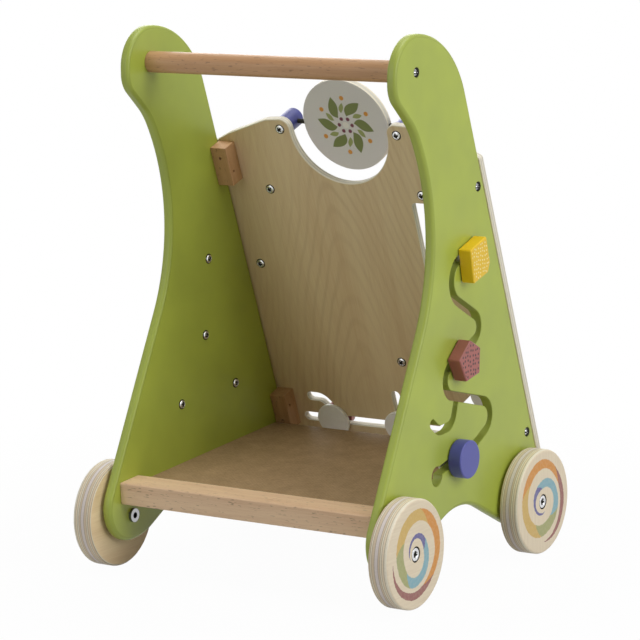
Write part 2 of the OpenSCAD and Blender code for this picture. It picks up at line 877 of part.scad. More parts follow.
// Play gears on the left side panel: involute teeth of 20 degrees, shortened so that they run clear
pitch_r = gear_pitch_d / 2;
base_r = pitch_r * cos(20);
tip_r = pitch_r + 0.8 * gear_m;
root_r = pitch_r - 0.8 * gear_m - 1.2;
function involute(r) = let (a = acos(min(1, base_r / r))) tan(a) * 180 / PI - a;
function half_tooth(r) = tooth_step / 4 - gear_play / pitch_r * 45 / PI
    + involute(pitch_r) - involute(max(r, base_r));
flank = [root_r, for (i = [0:5]) base_r + (tip_r - base_r) * i / 5];
function tooth(mid) = concat(
    [for (r = flank) r * [cos(mid - half_tooth(r)), sin(mid - half_tooth(r))]],
    [
        for (i = [len(flank) - 1:-1:0])
            let (r = flank[i]) r * [cos(mid + half_tooth(r)), sin(mid + half_tooth(r))]
    ]
);
module gear(k, paint) {
    color(paint)
        side_extrude(-outer_x - gear_gap - gear_t, gear_t)
            translate(gear_at(k))
                difference() {
                    rotate(gear_phase(k))
                        polygon([for (i = [0:gear_teeth - 1]) each tooth(i * tooth_step)]);
                    circle(d = gear_axle_d + 2 * run_gap);
                }
}
module gear_middle() gear(-1, yellow);
module gear_top() gear(0, blue_violet);
module gear_rear() gear(1, red_brown);
module gear_front() gear(2, birch);
gear_sleeve = 2 * gear_gap + gear_t;
module gear_axles() {
    color(steel)
        for (k = [-1:2])
            at_side(-1, gear_at(k))
                difference() {
                    union() {
                        cylinder(h = gear_sleeve, d = gear_axle_d);
                        translate([0, 0, gear_sleeve])
                            cylinder(h = gear_cap_h, d = gear_cap_d);
                    }
                    translate([0, 0, -1])
                        cylinder(h = gear_screw_l - side_t + 1 + fit_gap, d = gear_screw_d + 2 * fit_gap);
                    translate([0, 0, gear_sleeve + gear_cap_h - hex_depth])
                        cylinder(h = hex_depth + 1, d = hex_d, $fn = 6);
                }
}
module gear_screws() {
    color(steel)
        for (k = [-1:2])
            at_side(-1, gear_at(k))
                translate([0, 0, -side_t])
                    rotate([180, 0, 0])
                        pan_screw(gear_screw_l, gear_screw_d, pan_head_d);
}

// Bead rails on the front of the board: a rod between two standing dowel posts, with two beads
rod_from = bead_post_d / 2 - rod_in_post;
rod_l = bead_span - 2 * rod_from;
module bead_rod(rail) {
    color(steel)
        on_rail(rail)
            translate([0, 0, rod_from])
                cylinder(h = rod_l, d = bead_rod_d);
}
module bead_post(rail, end) {
    color(blue_violet)
        difference() {
            bead_screw_frame(rail, end)
                translate([0, 0, -board_t - bead_post_l])
                    cylinder(h = bead_post_l, d = bead_post_d);
            on_rail(rail)
                translate([0, 0, rod_from - fit_gap])
                    cylinder(h = rod_l + 2 * fit_gap, d = bead_rod_d + 2 * fit_gap);
            bead_screw_frame(rail, end)
                translate([0, 0, -board_t - post_screw_depth - fit_gap])
                    cylinder(h = post_screw_depth + 1, d = screw_d + 2 * fit_gap);
        }
}
module bead_screw_frame(rail, end) {
    on_rail(rail)
        translate([0, 0, end * bead_span])
            rotate([0, -90, 0])
                translate([0, 0, bead_off])
                    children();
}
module bead_rod_upper() bead_rod(upper_rail);
module bead_rod_lower() bead_rod(lower_rail);
module bead_post_upper_left() bead_post(upper_rail, 0);
module bead_post_upper_right() bead_post(upper_rail, 1);
module bead_post_lower_left() bead_post(lower_rail, 0);
module bead_post_lower_right() bead_post(lower_rail, 1);
module bead_post_screws() {
    color(steel)
        for (rail = bead_rails, end = [0, 1])
            bead_screw_frame(rail, end)
                pan_screw(board_t + post_screw_depth, screw_d, pan_head_d);
}
bead_stop = bead_post_d / 2 + bead_l / 2 + face_gap;
module bead(rail, along, paint) {
    color(paint)
        on_rail(rail)
            translate([0, 0, along])
                rotate_extrude()
                    polygon(rounded([
                        [bead_rod_d / 2 + run_gap, -bead_l / 2, 0],
                        [bead_d / 2, -bead_l / 2, bead_d * 0.24],
                        [bead_d / 2, bead_l / 2, bead_d * 0.24],
                        [bead_rod_d / 2 + run_gap, bead_l / 2, 0]
                    ]));
}
module bead_upper_left() bead(upper_rail, bead_stop, yellow);
module bead_upper_right() bead(upper_rail, bead_span - bead_stop, red_brown);
module bead_lower_left() bead(lower_rail, bead_span - bead_stop - bead_l - bead_share, blue_violet);
module bead_lower_right() bead(lower_rail, bead_span - bead_stop, green);

side_panel_left();
side_panel_right();
handle_bar();
handle_screws();
front_board();
corner_block_upper_left();
corner_block_upper_right();
corner_block_lower_left();
corner_block_lower_right();
block_side_screws();
block_front_screws();
rear_rail();
front_rail();
tray_board();
rail_screws();
wheel_rear_left();
wheel_rear_right();
wheel_front_left();
wheel_front_right();
wheel_barrel_nuts();
wheel_bolts();
wheel_washers();
spinner_disc();
spinner_pins();
spinner_post_left();
spinner_post_right();
spinner_post_screws();
slot_knob_yellow();
slot_knob_red();
slot_knob_blue();
slot_retainer_yellow();
slot_retainer_red();
slot_retainer_blue();
board_knob_left();
board_knob_middle();
board_knob_right();
board_retainer_left();
board_retainer_middle();
board_retainer_right();
gear_top();
gear_middle();
gear_rear();
gear_front();
gear_axles();
gear_screws();
bead_rod_upper();
bead_rod_lower();
bead_post_upper_left();
bead_post_upper_right();
bead_post_lower_left();
bead_post_lower_right();
bead_post_screws();
bead_upper_left();
bead_upper_right();
bead_lower_left();
bead_lower_right();
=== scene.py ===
import functools
import json
import math

import bpy
import numpy as np
from bpy.props import FloatProperty, FloatVectorProperty, IntProperty, PointerProperty
from mathutils import Matrix, Vector
from mathutils.geometry import tessellate_polygon


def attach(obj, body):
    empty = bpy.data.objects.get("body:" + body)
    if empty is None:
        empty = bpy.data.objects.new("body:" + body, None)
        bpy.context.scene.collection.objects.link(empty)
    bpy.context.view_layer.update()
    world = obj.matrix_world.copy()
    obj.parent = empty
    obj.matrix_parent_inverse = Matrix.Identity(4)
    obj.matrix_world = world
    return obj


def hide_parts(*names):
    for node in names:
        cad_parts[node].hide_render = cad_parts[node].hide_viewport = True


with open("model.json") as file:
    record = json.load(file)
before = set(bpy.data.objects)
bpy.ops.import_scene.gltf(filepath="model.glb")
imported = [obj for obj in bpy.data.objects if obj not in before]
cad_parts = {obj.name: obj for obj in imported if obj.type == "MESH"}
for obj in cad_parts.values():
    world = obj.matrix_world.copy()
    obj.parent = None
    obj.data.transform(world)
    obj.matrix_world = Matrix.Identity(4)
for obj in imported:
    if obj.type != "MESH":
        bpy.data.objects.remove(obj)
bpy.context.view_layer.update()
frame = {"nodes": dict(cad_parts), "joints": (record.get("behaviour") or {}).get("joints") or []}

bl_info = {
    "name": "Push Walker Finish",
    "version": (1, 0, 0),
    "blender": (4, 5, 0),
    "location": "View3D > Sidebar > Walker",
    "description": "Dresses the solids of a wooden push walker with rounded edges, paint, wood and steel",
    "category": "Object",
}

JOINTS = {j["name"]: j for j in frame["joints"]}
X_AXIS = np.array([1.0, 0.0, 0.0])
Y_AXIS = np.array([0.0, 1.0, 0.0])
Z_AXIS = np.array([0.0, 0.0, 1.0])

# The activity board leans back by this angle; its front faces away from the child
LEAN = math.radians(20)
BOARD_OUT = np.array([0.0, math.cos(LEAN), math.sin(LEAN)])
BOARD_UP = np.array([0.0, -math.sin(LEAN), math.cos(LEAN)])

FULL_TURN = 2 * math.pi
MILLIMETRE = 0.001

# Tolerances in metres: no length at all, corners at one place, a hair's breadth and points in one plane
NOTHING, SAME_PLACE, HAIR, SAME_PLANE = 1e-7, 2e-6, 1e-5, 2e-5

# Roundings in metres that aren't offered as sizes
HOLE_EDGE, POST_EDGE, DISC_EDGE, HANDLE_END, RAIL_END = 0.0004, 0.0009, 0.0007, 0.0004, 0.0006

# Points around small turned pieces
SMALL_COUNT = 64


# Sizes, colours and stage that a user may change


def length(name, description, default, low, high):
    return FloatProperty(name=name, description=description, default=default, min=low, max=high, unit="LENGTH",
                         precision=4)


def colour(name, description, rgb):
    return FloatVectorProperty(name=name, description=description, default=[c / 255 for c in rgb], min=0, max=1,
                               subtype="COLOR_GAMMA", size=3)


def degrees(name, description, default):
    return FloatProperty(name=name, description=description, default=math.radians(default), subtype="ANGLE")


def watts(name, description, default):
    return FloatProperty(name=name, description=description, default=default, min=0, unit="POWER")


class WalkerSizes(bpy.types.PropertyGroup):
    """Small roundings and counts of the visible surfaces"""

    panel_edge: length("Panel edge", "Rounding of the side panels' outlines", 0.003, 0.0005, 0.004)
    slot_edge: length("Slot edge", "Rounding of holes and slots in the side panels", 0.0006, 0.0001, 0.0015)
    board_edge: length("Board edge", "Rounding of the activity board's outline", 0.0009, 0.0002, 0.003)
    rail_edge: length("Rail edge", "Rounding of the rear rail's corners", 0.0016, 0.0003, 0.003)
    block_edge: length("Block edge", "Rounding of the corner blocks and the front rail", 0.0011, 0.0002, 0.003)
    rim_edge: length("Wheel rim", "Rounding of the wheels' rims", 0.0021, 0.0005, 0.004)
    knob_edge: length("Knob edge", "Rounding of the sliding knobs", 0.0012, 0.0002, 0.0015)
    gear_edge: length("Gear edge", "Rounding of the play gears' teeth", 0.0006, 0.0001, 0.001)
    arc_parts: IntProperty(name="Arc parts", description="Pieces that each chord of an arc is split into",
                           default=3, min=1, max=6)
    round_count: IntProperty(name="Round count", description="Points around turned pieces", default=96, min=24, max=256)


class WalkerColours(bpy.types.PropertyGroup):
    """Paints, woods and metals, as they look in daylight"""

    green: colour("Green", "Paint of the side panels", (168, 182, 70))
    yellow: colour("Yellow", "Yellow paint", (238, 195, 8))
    yellow_dots: colour("Yellow dots", "Pale dots on the yellow knob", (248, 232, 164))
    red_brown: colour("Red brown", "Red-brown paint", (152, 86, 78))
    red_dots: colour("Red dots", "Dark dots on the red-brown knob", (70, 34, 38))
    violet: colour("Blue violet", "Blue-violet paint", (78, 82, 162))
    beech: colour("Beech", "Pale beech of the rails", (234, 203, 166))
    beech_dark: colour("Beech grain", "Darker grain of the pale beech", (204, 162, 126))
    brown_beech: colour("Brown beech", "Steamed beech of the handle and the corner blocks", (202, 160, 118))
    brown_dark: colour("Brown beech grain", "Darker grain of the steamed beech", (178, 134, 94))
    birch: colour("Birch", "Face of the birch plywood board", (226, 205, 164))
    birch_dark: colour("Birch grain", "Darker grain of the birch plywood board", (206, 174, 132))
    wheel: colour("Wheel", "Sanded face of the plywood wheels", (238, 223, 195))
    wheel_dark: colour("Wheel grain", "Darker grain of the wheels' faces", (226, 208, 179))
    wheel_inner: colour("Wheel inside", "Rougher inner face of the plywood wheels", (246, 222, 180))
    inner_dark: colour("Inside grain", "Darker grain of the wheels' inner faces", (224, 192, 144))
    ply_pale: colour("Pale ply", "Long-grained plies on cut edges", (240, 232, 211))
    ply_grey: colour("Grey ply", "End-grained plies on cut edges", (217, 213, 199))
    ply_line: colour("Glue line", "Lines between the plies on cut edges", (201, 190, 166))
    tread_grey: colour("Grey tread", "Grey ply in the middle of the wheels' treads", (228, 218, 213))
    tray: colour("Tray", "Light threads of the tray board", (180, 150, 114))
    tray_dark: colour("Tray shade", "Dark threads of the tray board", (138, 113, 80))
    disc: colour("Disc", "Speckled face of the flip-over disc", (222, 219, 214))
    grey: colour("Grey", "Plastic of the retaining discs", (252, 250, 246))
    steel: colour("Steel", "Zinc-plated screws, bolts and rods", (236, 237, 239))


class WalkerStage(bpy.types.PropertyGroup):
    """Camera and lamps"""

    azimuth: degrees("Azimuth", "Camera's angle round the walker", 33.07)
    elevation: degrees("Elevation", "Camera's angle above the floor", 9.80)
    roll: degrees("Roll", "Camera's turn about its own axis", -0.96)
    distance: length("Distance", "Camera's distance from the point it looks at", 2.57335, 0.5, 10)
    lens: FloatProperty(name="Lens", description="Focal length", default=171.283, min=10, max=400, unit="CAMERA")
    aim: FloatVectorProperty(name="Aim", description="Point that the camera looks at",
                             default=(-0.00126, 0.0, 0.20642), size=3, subtype="XYZ", unit="LENGTH", precision=4)
    key_power: watts("Key lamp", "Power of the large lamp on the right", 18.5)
    fill_power: watts("Fill lamp", "Power of the lamp behind the child", 12)
    top_power: watts("Top lamp", "Power of the lamp overhead", 24)
    side_power: watts("Side lamp", "Power of the lamp in front on the left", 16)
    room_level: FloatProperty(name="Room light", description="Level of the even light from all round", default=0.02,
                              min=0, max=2)


def settings(context):
    """Sizes and colours that the operators use."""
    return context.scene.walker_sizes, context.scene.walker_colours


# Shapes

# Cosine above which two directions count as one, and chords that count as alike: share of length and angle between
FACING = 0.999
CHORD_SHARE, CHORD_TURN = 0.04, math.radians(20)

# Steps of a plate's rounded edge, the least sum that divides a mitre, and the error in area that a filled face may have
EDGE_STEPS, MITRE_LEAST, FILL_ERROR = 4, 0.35, 1e-3

# Sharpness of an edge, as an angle, from which a CAD node's edges are rounded
SHARP = math.radians(50)


def unit(rows):
    """Rows of directions, each of length 1."""
    return rows / np.linalg.norm(rows, axis=1)[:, None]


def turn_of(u, v):
    """Flat cross product of each pair of rows, above 0 where v lies to the left of u."""
    return u[:, 0] * v[:, 1] - u[:, 1] * v[:, 0]


def points_of(node):
    """Corners of a CAD node, as an array of points."""
    mesh = frame["nodes"][node].data
    place = np.empty(len(mesh.vertices) * 3)
    mesh.vertices.foreach_get("co", place)
    return place.reshape(-1, 3)


def span(node, axis):
    """Lowest and highest level of a CAD node along an axis."""
    level = points_of(node) @ axis
    return level.min(), level.max()


def seat(node, axis, up):
    """Foot of a round CAD node's axis, its height along the axis and its radius, from its spans."""
    across = np.cross(up, axis)
    low, high = span(node, axis)
    left, right = span(node, across)
    bottom, top = span(node, up)
    foot = low * axis + (left + right) / 2 * across + (bottom + top) / 2 * up
    return foot, high - low, (right - left) / 2


def face_loops(node, normal):
    """Edge loops of a solid's outermost flat face towards normal, longest first, as arrays of points.

    The triangles in the face's plane are picked by their normals, corners at one place are joined, and the edges that
    only one triangle uses are chained by doubling each point's jump along its loop. The material is on the left.
    """
    mesh = frame["nodes"][node].data
    mesh.calc_loop_triangles()
    index = np.empty(len(mesh.loop_triangles) * 3, np.int32)
    mesh.loop_triangles.foreach_get("vertices", index)
    tri = points_of(node)[index.reshape(-1, 3)]
    cross = np.cross(tri[:, 1] - tri[:, 0], tri[:, 2] - tri[:, 0])
    level = tri @ normal
    flat = (cross @ normal > FACING * np.linalg.norm(cross, axis=1)) & (np.ptp(level, axis=1) < SAME_PLANE)
    flat &= level.max(1) > level.max() - SAME_PLANE
    points = tri[flat].reshape(-1, 3)
    places = np.round(points / SAME_PLACE).astype(np.int64)
    _, first, ids = np.unique(places, axis=0, return_index=True, return_inverse=True)
    ids = ids.reshape(-1, 3)
    count = first.size
    start, end = ids.ravel(), np.roll(ids, -1, 1).ravel()
    rim = ~np.isin(end * count + start, start * count + end)
    jump = np.arange(count)
    jump[start[rim]] = end[rim]
    lead, hop = np.arange(count), jump.copy()
    rounds = range(int(math.ceil(math.log2(count))) + 1)
    for _ in rounds:
        lead, hop = np.minimum(lead, lead[hop]), hop[hop]
    away = (np.arange(count) != lead).astype(np.int64)
    hop = np.where(away > 0, jump, np.arange(count))
    for _ in rounds:
        away, hop = away + away[hop], hop[hop]
    away[away == 0] = count + 1
    on_rim = np.unique(start[rim])
    order = on_rim[np.lexsort((-away[on_rim], lead[on_rim]))]
    cuts = np.flatnonzero(np.diff(lead[order])) + 1
    loops = [points[first[part]] for part in np.split(order, cuts)]
    return sorted(loops, key=lambda p: -np.ptp(p, axis=0).sum())


def refined(loop, parts):
    """Loop with each chord of an arc split into parts that lie on the arc.

    A chord belongs to an arc where a neighbour is as long and the turn between them is under 20 degrees. The point at
    share t then stands out by 4 t (1 - t) times the arc's rise: half the chord times the tangent of a quarter turn.
    """
    step = np.roll(loop, -1, 0) - loop
    size = np.linalg.norm(step, axis=1)
    after = np.roll(step, -1, 0)
    turn = np.arctan2(turn_of(step, after), (step * after).sum(1))
    alike = (np.abs(np.roll(size, -1) / size - 1) < CHORD_SHARE) & (np.abs(turn) < CHORD_TURN)
    at_end = np.where(alike, turn, 0)
    at_start = np.roll(at_end, 1)
    angle = np.where(alike & np.roll(alike, 1), (at_end + at_start) / 2, at_end + at_start)
    rise = size / 2 * np.tan(angle / 4)
    t = np.arange(parts) / parts
    out = np.stack([step[:, 1], -step[:, 0]], 1) / size[:, None]
    curve = (4 * t * (1 - t))[None, :, None] * (rise[:, None] * out)[:, None]
    return (loop[:, None] + t[None, :, None] * step[:, None] + curve).reshape(-1, 2)


def eased(corners, radius, parts=6):
    """Closed outline with each corner rounded by an arc of the given radius, one value or one for each corner.

    The arc's centre lies on the corner's bisector, at the radius over the sine of half the corner's angle, and the
    arc runs between the two points where it touches the edges.
    """
    corners = np.asarray(corners, float)
    radius = np.broadcast_to(np.asarray(radius, float), len(corners))
    u, v = unit(np.roll(corners, 1, 0) - corners), unit(np.roll(corners, -1, 0) - corners)
    half = np.arccos(np.clip((u * v).sum(1), -1, 1)) / 2
    centre = corners + unit(u + v) * (radius / np.sin(half))[:, None]
    touch = corners + u * (radius / np.tan(half))[:, None] - centre
    turn = (math.pi - 2 * half) * np.sign(turn_of(v, u))
    angle = np.linspace(0, 1, parts + 1)[None] * turn[:, None]
    x = touch[:, :1] * np.cos(angle) - touch[:, 1:] * np.sin(angle)
    y = touch[:, :1] * np.sin(angle) + touch[:, 1:] * np.cos(angle)
    points = (centre[:, None] + np.stack([x, y], 2)).reshape(-1, 2)
    keep = np.linalg.norm(points - np.roll(points, 1, 0), axis=1) > NOTHING
    return points[keep]


def plate(loops, normal, up, level, thick, edges):
    """Board with rounded edges: flat outlines carried through the thickness along a quarter circle at each face.

    At angle a of the quarter circle a ring lies r (1 - cos a) below its face and r (1 - sin a) inside the outline,
    moved along the corners' mitres. The two faces are filled between the first and the last rings.
    Returns points, faces, and for each face 0 for the front, 1 for the edge or 2 for the back.
    """
    across = np.cross(up, normal)
    a = np.linspace(0, math.pi / 2, EDGE_STEPS + 1)
    points, faces, groups, fronts, backs, total = [], [], [], [], [], 0
    for loop, r in zip(loops, edges):
        count = len(loop)
        ahead = unit(np.roll(loop, -1, 0) - loop)
        left = np.stack([-ahead[:, 1], ahead[:, 0]], 1)
        before = np.roll(left, 1, 0)
        mitre = (left + before) / np.maximum(1 + (left * before).sum(1), MITRE_LEAST)[:, None]
        inset = np.concatenate([r * (1 - np.sin(a)), r * (1 - np.sin(a[::-1]))])
        depth = np.concatenate([r * (1 - np.cos(a)), thick - r * (1 - np.cos(a[::-1]))])
        flat = loop[None] + inset[:, None, None] * mitre[None]
        height = (level - depth)[:, None, None] * normal
        points.append((flat[..., :1] * across + flat[..., 1:] * up + height).reshape(-1, 3))
        ring = np.arange(len(depth) - 1)[:, None] * count
        here = np.arange(count)[None]
        there = (here + 1) % count
        quads = np.stack([ring + here, ring + count + here, ring + count + there, ring + there], 2).reshape(-1, 4)
        faces.append(quads + total)
        groups.append(np.ones(len(quads), int))
        fronts.append((flat[0], total))
        backs.append((flat[-1], total + (len(depth) - 1) * count))
        total += len(depth) * count
    for rings, group in ((fronts, 0), (backs, 2)):
        flat = np.concatenate([ring for ring, _ in rings])
        index = np.concatenate([np.arange(len(ring)) + at for ring, at in rings])
        tri = np.array(tessellate_polygon([[Vector((p[0], p[1], 0)) for p in (ring / MILLIMETRE).tolist()]
                                           for ring, _ in rings]))
        turn = turn_of(flat[tri[:, 1]] - flat[tri[:, 0]], flat[tri[:, 2]] - flat[tri[:, 0]])
        tri[turn < 0] = tri[turn < 0][:, ::-1]
        after = np.concatenate([np.roll(ring, -1, 0) for ring, _ in rings])
        area = turn_of(flat, after).sum()
        if abs(np.abs(turn).sum() / area - 1) > FILL_ERROR:
            raise RuntimeError("A plate's face couldn't be filled")
        tri = index[tri] if group == 0 else index[tri][:, ::-1]
        faces.append(tri)
        groups.append(np.full(len(tri), group))
    return np.concatenate(points), faces, np.concatenate(groups)


def plate_of(node, normal, up, edge, hole_edge, parts):
    """Rounded board over a CAD plate: its outer loop and holes on the face towards normal, carried through it."""
    across = np.cross(up, normal)
    low, high = span(node, normal)
    loops = [refined(np.stack([p @ across, p @ up], 1), parts) for p in face_loops(node, normal)]
    return plate(loops, normal, up, high, high - low, [edge] + [hole_edge] * (len(loops) - 1))


def turned_piece(profile, foot, axis, start, count):
    """Turned piece: a profile of [radius, height] carried round an axis from foot.

    A point at angle a lies at foot + height * axis + radius * (cos a * start + sin a * (axis x start)). A profile that
    starts and ends at radius 0 is closed by a point at each end, and any other one runs back to its first point.
    """
    profile = np.where(np.abs(profile) < NOTHING, 0, profile)
    a = FULL_TURN * np.arange(count) / count
    around = np.cos(a)[:, None] * start + np.sin(a)[:, None] * np.cross(axis, start)
    poles = profile[0, 0] == 0
    rings = profile[1:-1] if poles else profile
    grid = foot + rings[:, 1, None, None] * axis + rings[:, 0, None, None] * around[None]
    here = np.arange(count)
    there = (here + 1) % count
    low = np.arange(len(rings) - (1 if poles else 0))[:, None] * count
    high = (low + count) % (len(rings) * count)
    quads = np.stack([low + here, low + there, high + there, high + here], 2).reshape(-1, 4)
    points = grid.reshape(-1, 3)
    if not poles:
        return points, [quads]
    total, last = len(points), (len(rings) - 1) * count
    points = np.concatenate([points, [foot + profile[0, 1] * axis, foot + profile[-1, 1] * axis]])
    bottom = np.stack([np.full(count, total), there, here], 1)
    top = np.stack([last + here, last + there, np.full(count, total + 1)], 1)
    return points, [quads, bottom, top]


def rod_of(node, axis, up, edge, count, parts=5):
    """Round rod over a round CAD node, its ends rounded by edge, one value or one for the foot and one for the top."""
    foot, tall, radius = seat(node, axis, up)
    corners = [[0, 0], [radius, 0], [radius, tall], [0, tall]]
    return turned_piece(eased(corners, [0, *np.broadcast_to(edge, 2), 0], parts), foot, axis, up, count)


def flat_faces(obj):
    """Shading that keeps large faces flat beside rounded edges."""
    flat = obj.modifiers.new("flat_faces", "WEIGHTED_NORMAL")
    flat.mode = "FACE_AREA"
    flat.weight = 100


def piece(name, shape, finishes, body, nodes, groups=None, uv=None):
    """New mesh object for CAD nodes: points and faces go in as arrays, and it rides on its body."""
    points, faces = shape[0], shape[1]
    mesh = bpy.data.meshes.new(name)
    mesh.from_pydata(points.tolist(), [], [face for part in faces for face in part.tolist()])
    for mat in finishes:
        mesh.materials.append(mat)
    if groups is not None:
        mesh.polygons.foreach_set("material_index", np.minimum(groups, len(finishes) - 1).astype(np.int32))
    mesh.polygons.foreach_set("use_smooth", np.ones(len(mesh.polygons), bool))
    if uv is not None:
        corner = np.empty(len(mesh.loops), np.int32)
        mesh.loops.foreach_get("vertex_index", corner)
        mesh.uv_layers.new(name="face").data.foreach_set("uv", uv[corner].ravel().astype(np.float32))
    mesh.validate()
    obj = bpy.data.objects.new(name, mesh)
    bpy.context.scene.collection.objects.link(obj)
    flat_faces(obj)
    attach(obj, body)
    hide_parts(*nodes)


def dress(node, finish, edge=0.0):
    """Finish for a CAD node that is shown as it is, with its corners joined and its edges rounded where edge is set."""
    obj = frame["nodes"][node]
    obj.data.materials.clear()
    obj.data.materials.append(finish)
    if edge > 0:
        weld = obj.modifiers.new("joined_corners", "WELD")
        weld.merge_threshold = SAME_PLACE
        bevel = obj.modifiers.new("rounded_edges", "BEVEL")
        bevel.width = edge
        bevel.segments = 3
        bevel.limit_method = "ANGLE"
        bevel.angle_limit = SHARP
        bevel.harden_normals = False
        flat_faces(obj)


# Finishes


def linear(rgb):
    """Linear colour with alpha from a colour as it is seen."""
    c = np.asarray(rgb[:3], float)
    return (*np.where(c <= 0.04045, c / 12.92, ((c + 0.055) / 1.055) ** 2.4), 1.0)


def printed(rgb):
    """Linear colour with alpha from a colour as it is seen, given in 0 to 255."""
    return linear([c / 255 for c in rgb])


def shade(rgb, level):
    """The same colour, lighter or darker."""
    return tuple(min(1.0, c * level) for c in rgb[:3])


class Nodes:
    """A node tree under construction."""

    def __init__(self, tree):
        self.tree = tree

    def node(self, kind, inputs=None, **settings):
        """New node with its settings, and with a value or a link at each of the inputs."""
        made = self.tree.nodes.new(kind)
        for key, value in settings.items():
            setattr(made, key, value)
        for key, value in (inputs or {}).items():
            if isinstance(value, bpy.types.NodeSocket):
                self.tree.links.new(value, made.inputs[key])
            else:
                made.inputs[key].default_value = value
        return made

    def seen(self):
        """1 for rays that show the surroundings: from the camera, in reflections and through clear pieces."""
        path = self.node("ShaderNodeLightPath").outputs
        total = path["Is Camera Ray"]
        for name in ("Is Glossy Ray", "Is Transmission Ray"):
            total = self.node("ShaderNodeMath", {0: total, 1: path[name]}, operation="MAXIMUM").outputs[0]
        return total

    def surface(self, output, share, one, other):
        """Leads one shader to the tree's output, and the other in its place by the given share."""
        mix = self.node("ShaderNodeMixShader", {0: share, 1: one.outputs[0], 2: other.outputs[0]})
        self.tree.links.new(mix.outputs[0], self.tree.nodes[output].inputs["Surface"])


class Finish(Nodes):
    """A material under construction, with short calls for the few kinds of node that the finishes use."""

    def __init__(self, name, rough, metal=0.0, specular=0.5, coat=0.0, coat_rough=0.2):
        self.mat = bpy.data.materials.new(name)
        self.mat.use_nodes = True
        super().__init__(self.mat.node_tree)
        self.shader = self.tree.nodes["Principled BSDF"]
        for key, value in (("Roughness", rough), ("Metallic", metal), ("Specular IOR Level", specular),
                           ("Coat Weight", coat), ("Coat Roughness", coat_rough)):
            self.shader.inputs[key].default_value = value

    def scaled(self, vector, scale):
        return self.node("ShaderNodeVectorMath", {0: vector, 1: scale}, operation="MULTIPLY").outputs[0]

    def place(self, scale=(1, 1, 1), turn=(0, 0, 0), shift=(0, 0, 0)):
        """Object coordinates, moved, turned and then scaled."""
        here = self.node("ShaderNodeTexCoord").outputs["Object"]
        moved = self.node("ShaderNodeMapping", {"Vector": here, "Location": shift, "Rotation": turn})
        return self.scaled(moved.outputs[0], scale)

    def split(self, vector):
        """The three parts of a vector."""
        return self.node("ShaderNodeSeparateXYZ", {0: vector}).outputs

    def polar(self):
        """Coordinates on a round face's own map, the distance from its middle and the angle round it."""
        flat = self.node("ShaderNodeUVMap", uv_map="face").outputs[0]
        u, v, _ = self.split(flat)
        return flat, self.root(u, v), self.maths("ARCTAN2", v, u)

    def noise(self, vector, scale, detail, rough=0.5):
        made = self.node("ShaderNodeTexNoise", {"Vector": vector, "Scale": scale, "Detail": detail, "Roughness": rough})
        return made.outputs["Fac"]

    def maths(self, operation, a, b=0.0, c=0.0):
        return self.node("ShaderNodeMath", {0: a, 1: b, 2: c}, operation=operation).outputs[0]

    def times(self, a, b, plus=0.0):
        return self.maths("MULTIPLY_ADD", a, b, plus)

    def minus(self, a, b):
        return self.maths("SUBTRACT", a, b)

    def root(self, a, b):
        """Root of a squared plus b squared."""
        return self.maths("SQRT", self.times(a, a, self.times(b, b)))

    def range(self, value, low, high, to_low=0.0, to_high=1.0):
        made = self.node("ShaderNodeMapRange", {"Value": value, "From Min": low, "From Max": high, "To Min": to_low,
                                                "To Max": to_high})
        return made.outputs["Result"]

    def blend(self, share, one, other):
        """Two colours mixed; the numbers are those of the node's colour inputs and output."""
        return self.node("ShaderNodeMix", {0: share, 6: one, 7: other}, data_type="RGBA").outputs[2]

    def tones(self, share, rgb, low, high):
        """Mix between two levels of one colour."""
        return self.blend(share, linear(shade(rgb, low)), linear(shade(rgb, high)))

    def ramp(self, share, stops, kind="LINEAR"):
        made = self.node("ShaderNodeValToRGB", {"Fac": share})
        made.color_ramp.interpolation = kind
        parts = made.color_ramp.elements
        while len(parts) < len(stops):
            parts.new(1.0)
        for part, (at, value) in zip(parts, stops):
            part.position = at
            part.color = value
        return made.outputs["Color"]

    def done(self, base, bump, depth, strength, rough=None):
        """The finished material with its colour, its bumps and, where asked, its uneven roughness."""
        self.tree.links.new(base, self.shader.inputs["Base Color"])
        made = self.node("ShaderNodeBump", {"Height": bump, "Strength": strength, "Distance": depth})
        self.tree.links.new(made.outputs[0], self.shader.inputs["Normal"])
        if rough is not None:
            self.tree.links.new(rough, self.shader.inputs["Roughness"])
        return self.mat


FINISHES = {}


def kept(make):
    """Lets a finish be made once for each name, and found by its name from then on."""

    @functools.wraps(make)
    def found(name, *values, **named):
        if name not in FINISHES:
            FINISHES[name] = make(name, *values, **named)
        return FINISHES[name]

    return found


@kept
def paint(name, rgb, rough, dots=None, dot_size=0.0, dot_share=0.0):
    """Satin paint on wood: slow mottling, faint brush texture and, where asked, small printed dots on the y-z face."""
    f = Finish(name, rough, coat=0.12, coat_rough=0.25)
    slow = f.noise(f.place(), 22, 2)
    base = f.tones(f.range(slow, 0.3, 0.7), rgb, 0.965, 1.03)
    fine = f.noise(f.place(), 1400, 2)
    if dots is not None:
        _, y, z = f.split(f.place())
        flat = f.node("ShaderNodeCombineXYZ", {0: y, 1: z}).outputs[0]
        cells = f.node("ShaderNodeTexVoronoi", {"Vector": flat, "Scale": 1 / dot_size, "Randomness": 0.45},
                       feature="F1", voronoi_dimensions="2D")
        inside = f.range(cells.outputs["Distance"], dot_share + 0.04, dot_share - 0.04)
        base = f.blend(inside, base, linear(dots))
    return f.done(base, fine, depth=0.00006, strength=0.25, rough=f.range(slow, 0.2, 0.8, rough - 0.05, rough + 0.06))


# Growth rings on the board: their bend's place aside, width and height, and the distance from one ring to the next
ARCH_SHIFT, ARCH_WIDE, ARCH_HIGH, ARCH_STEP = 0.024, 0.018, 0.066, 0.026


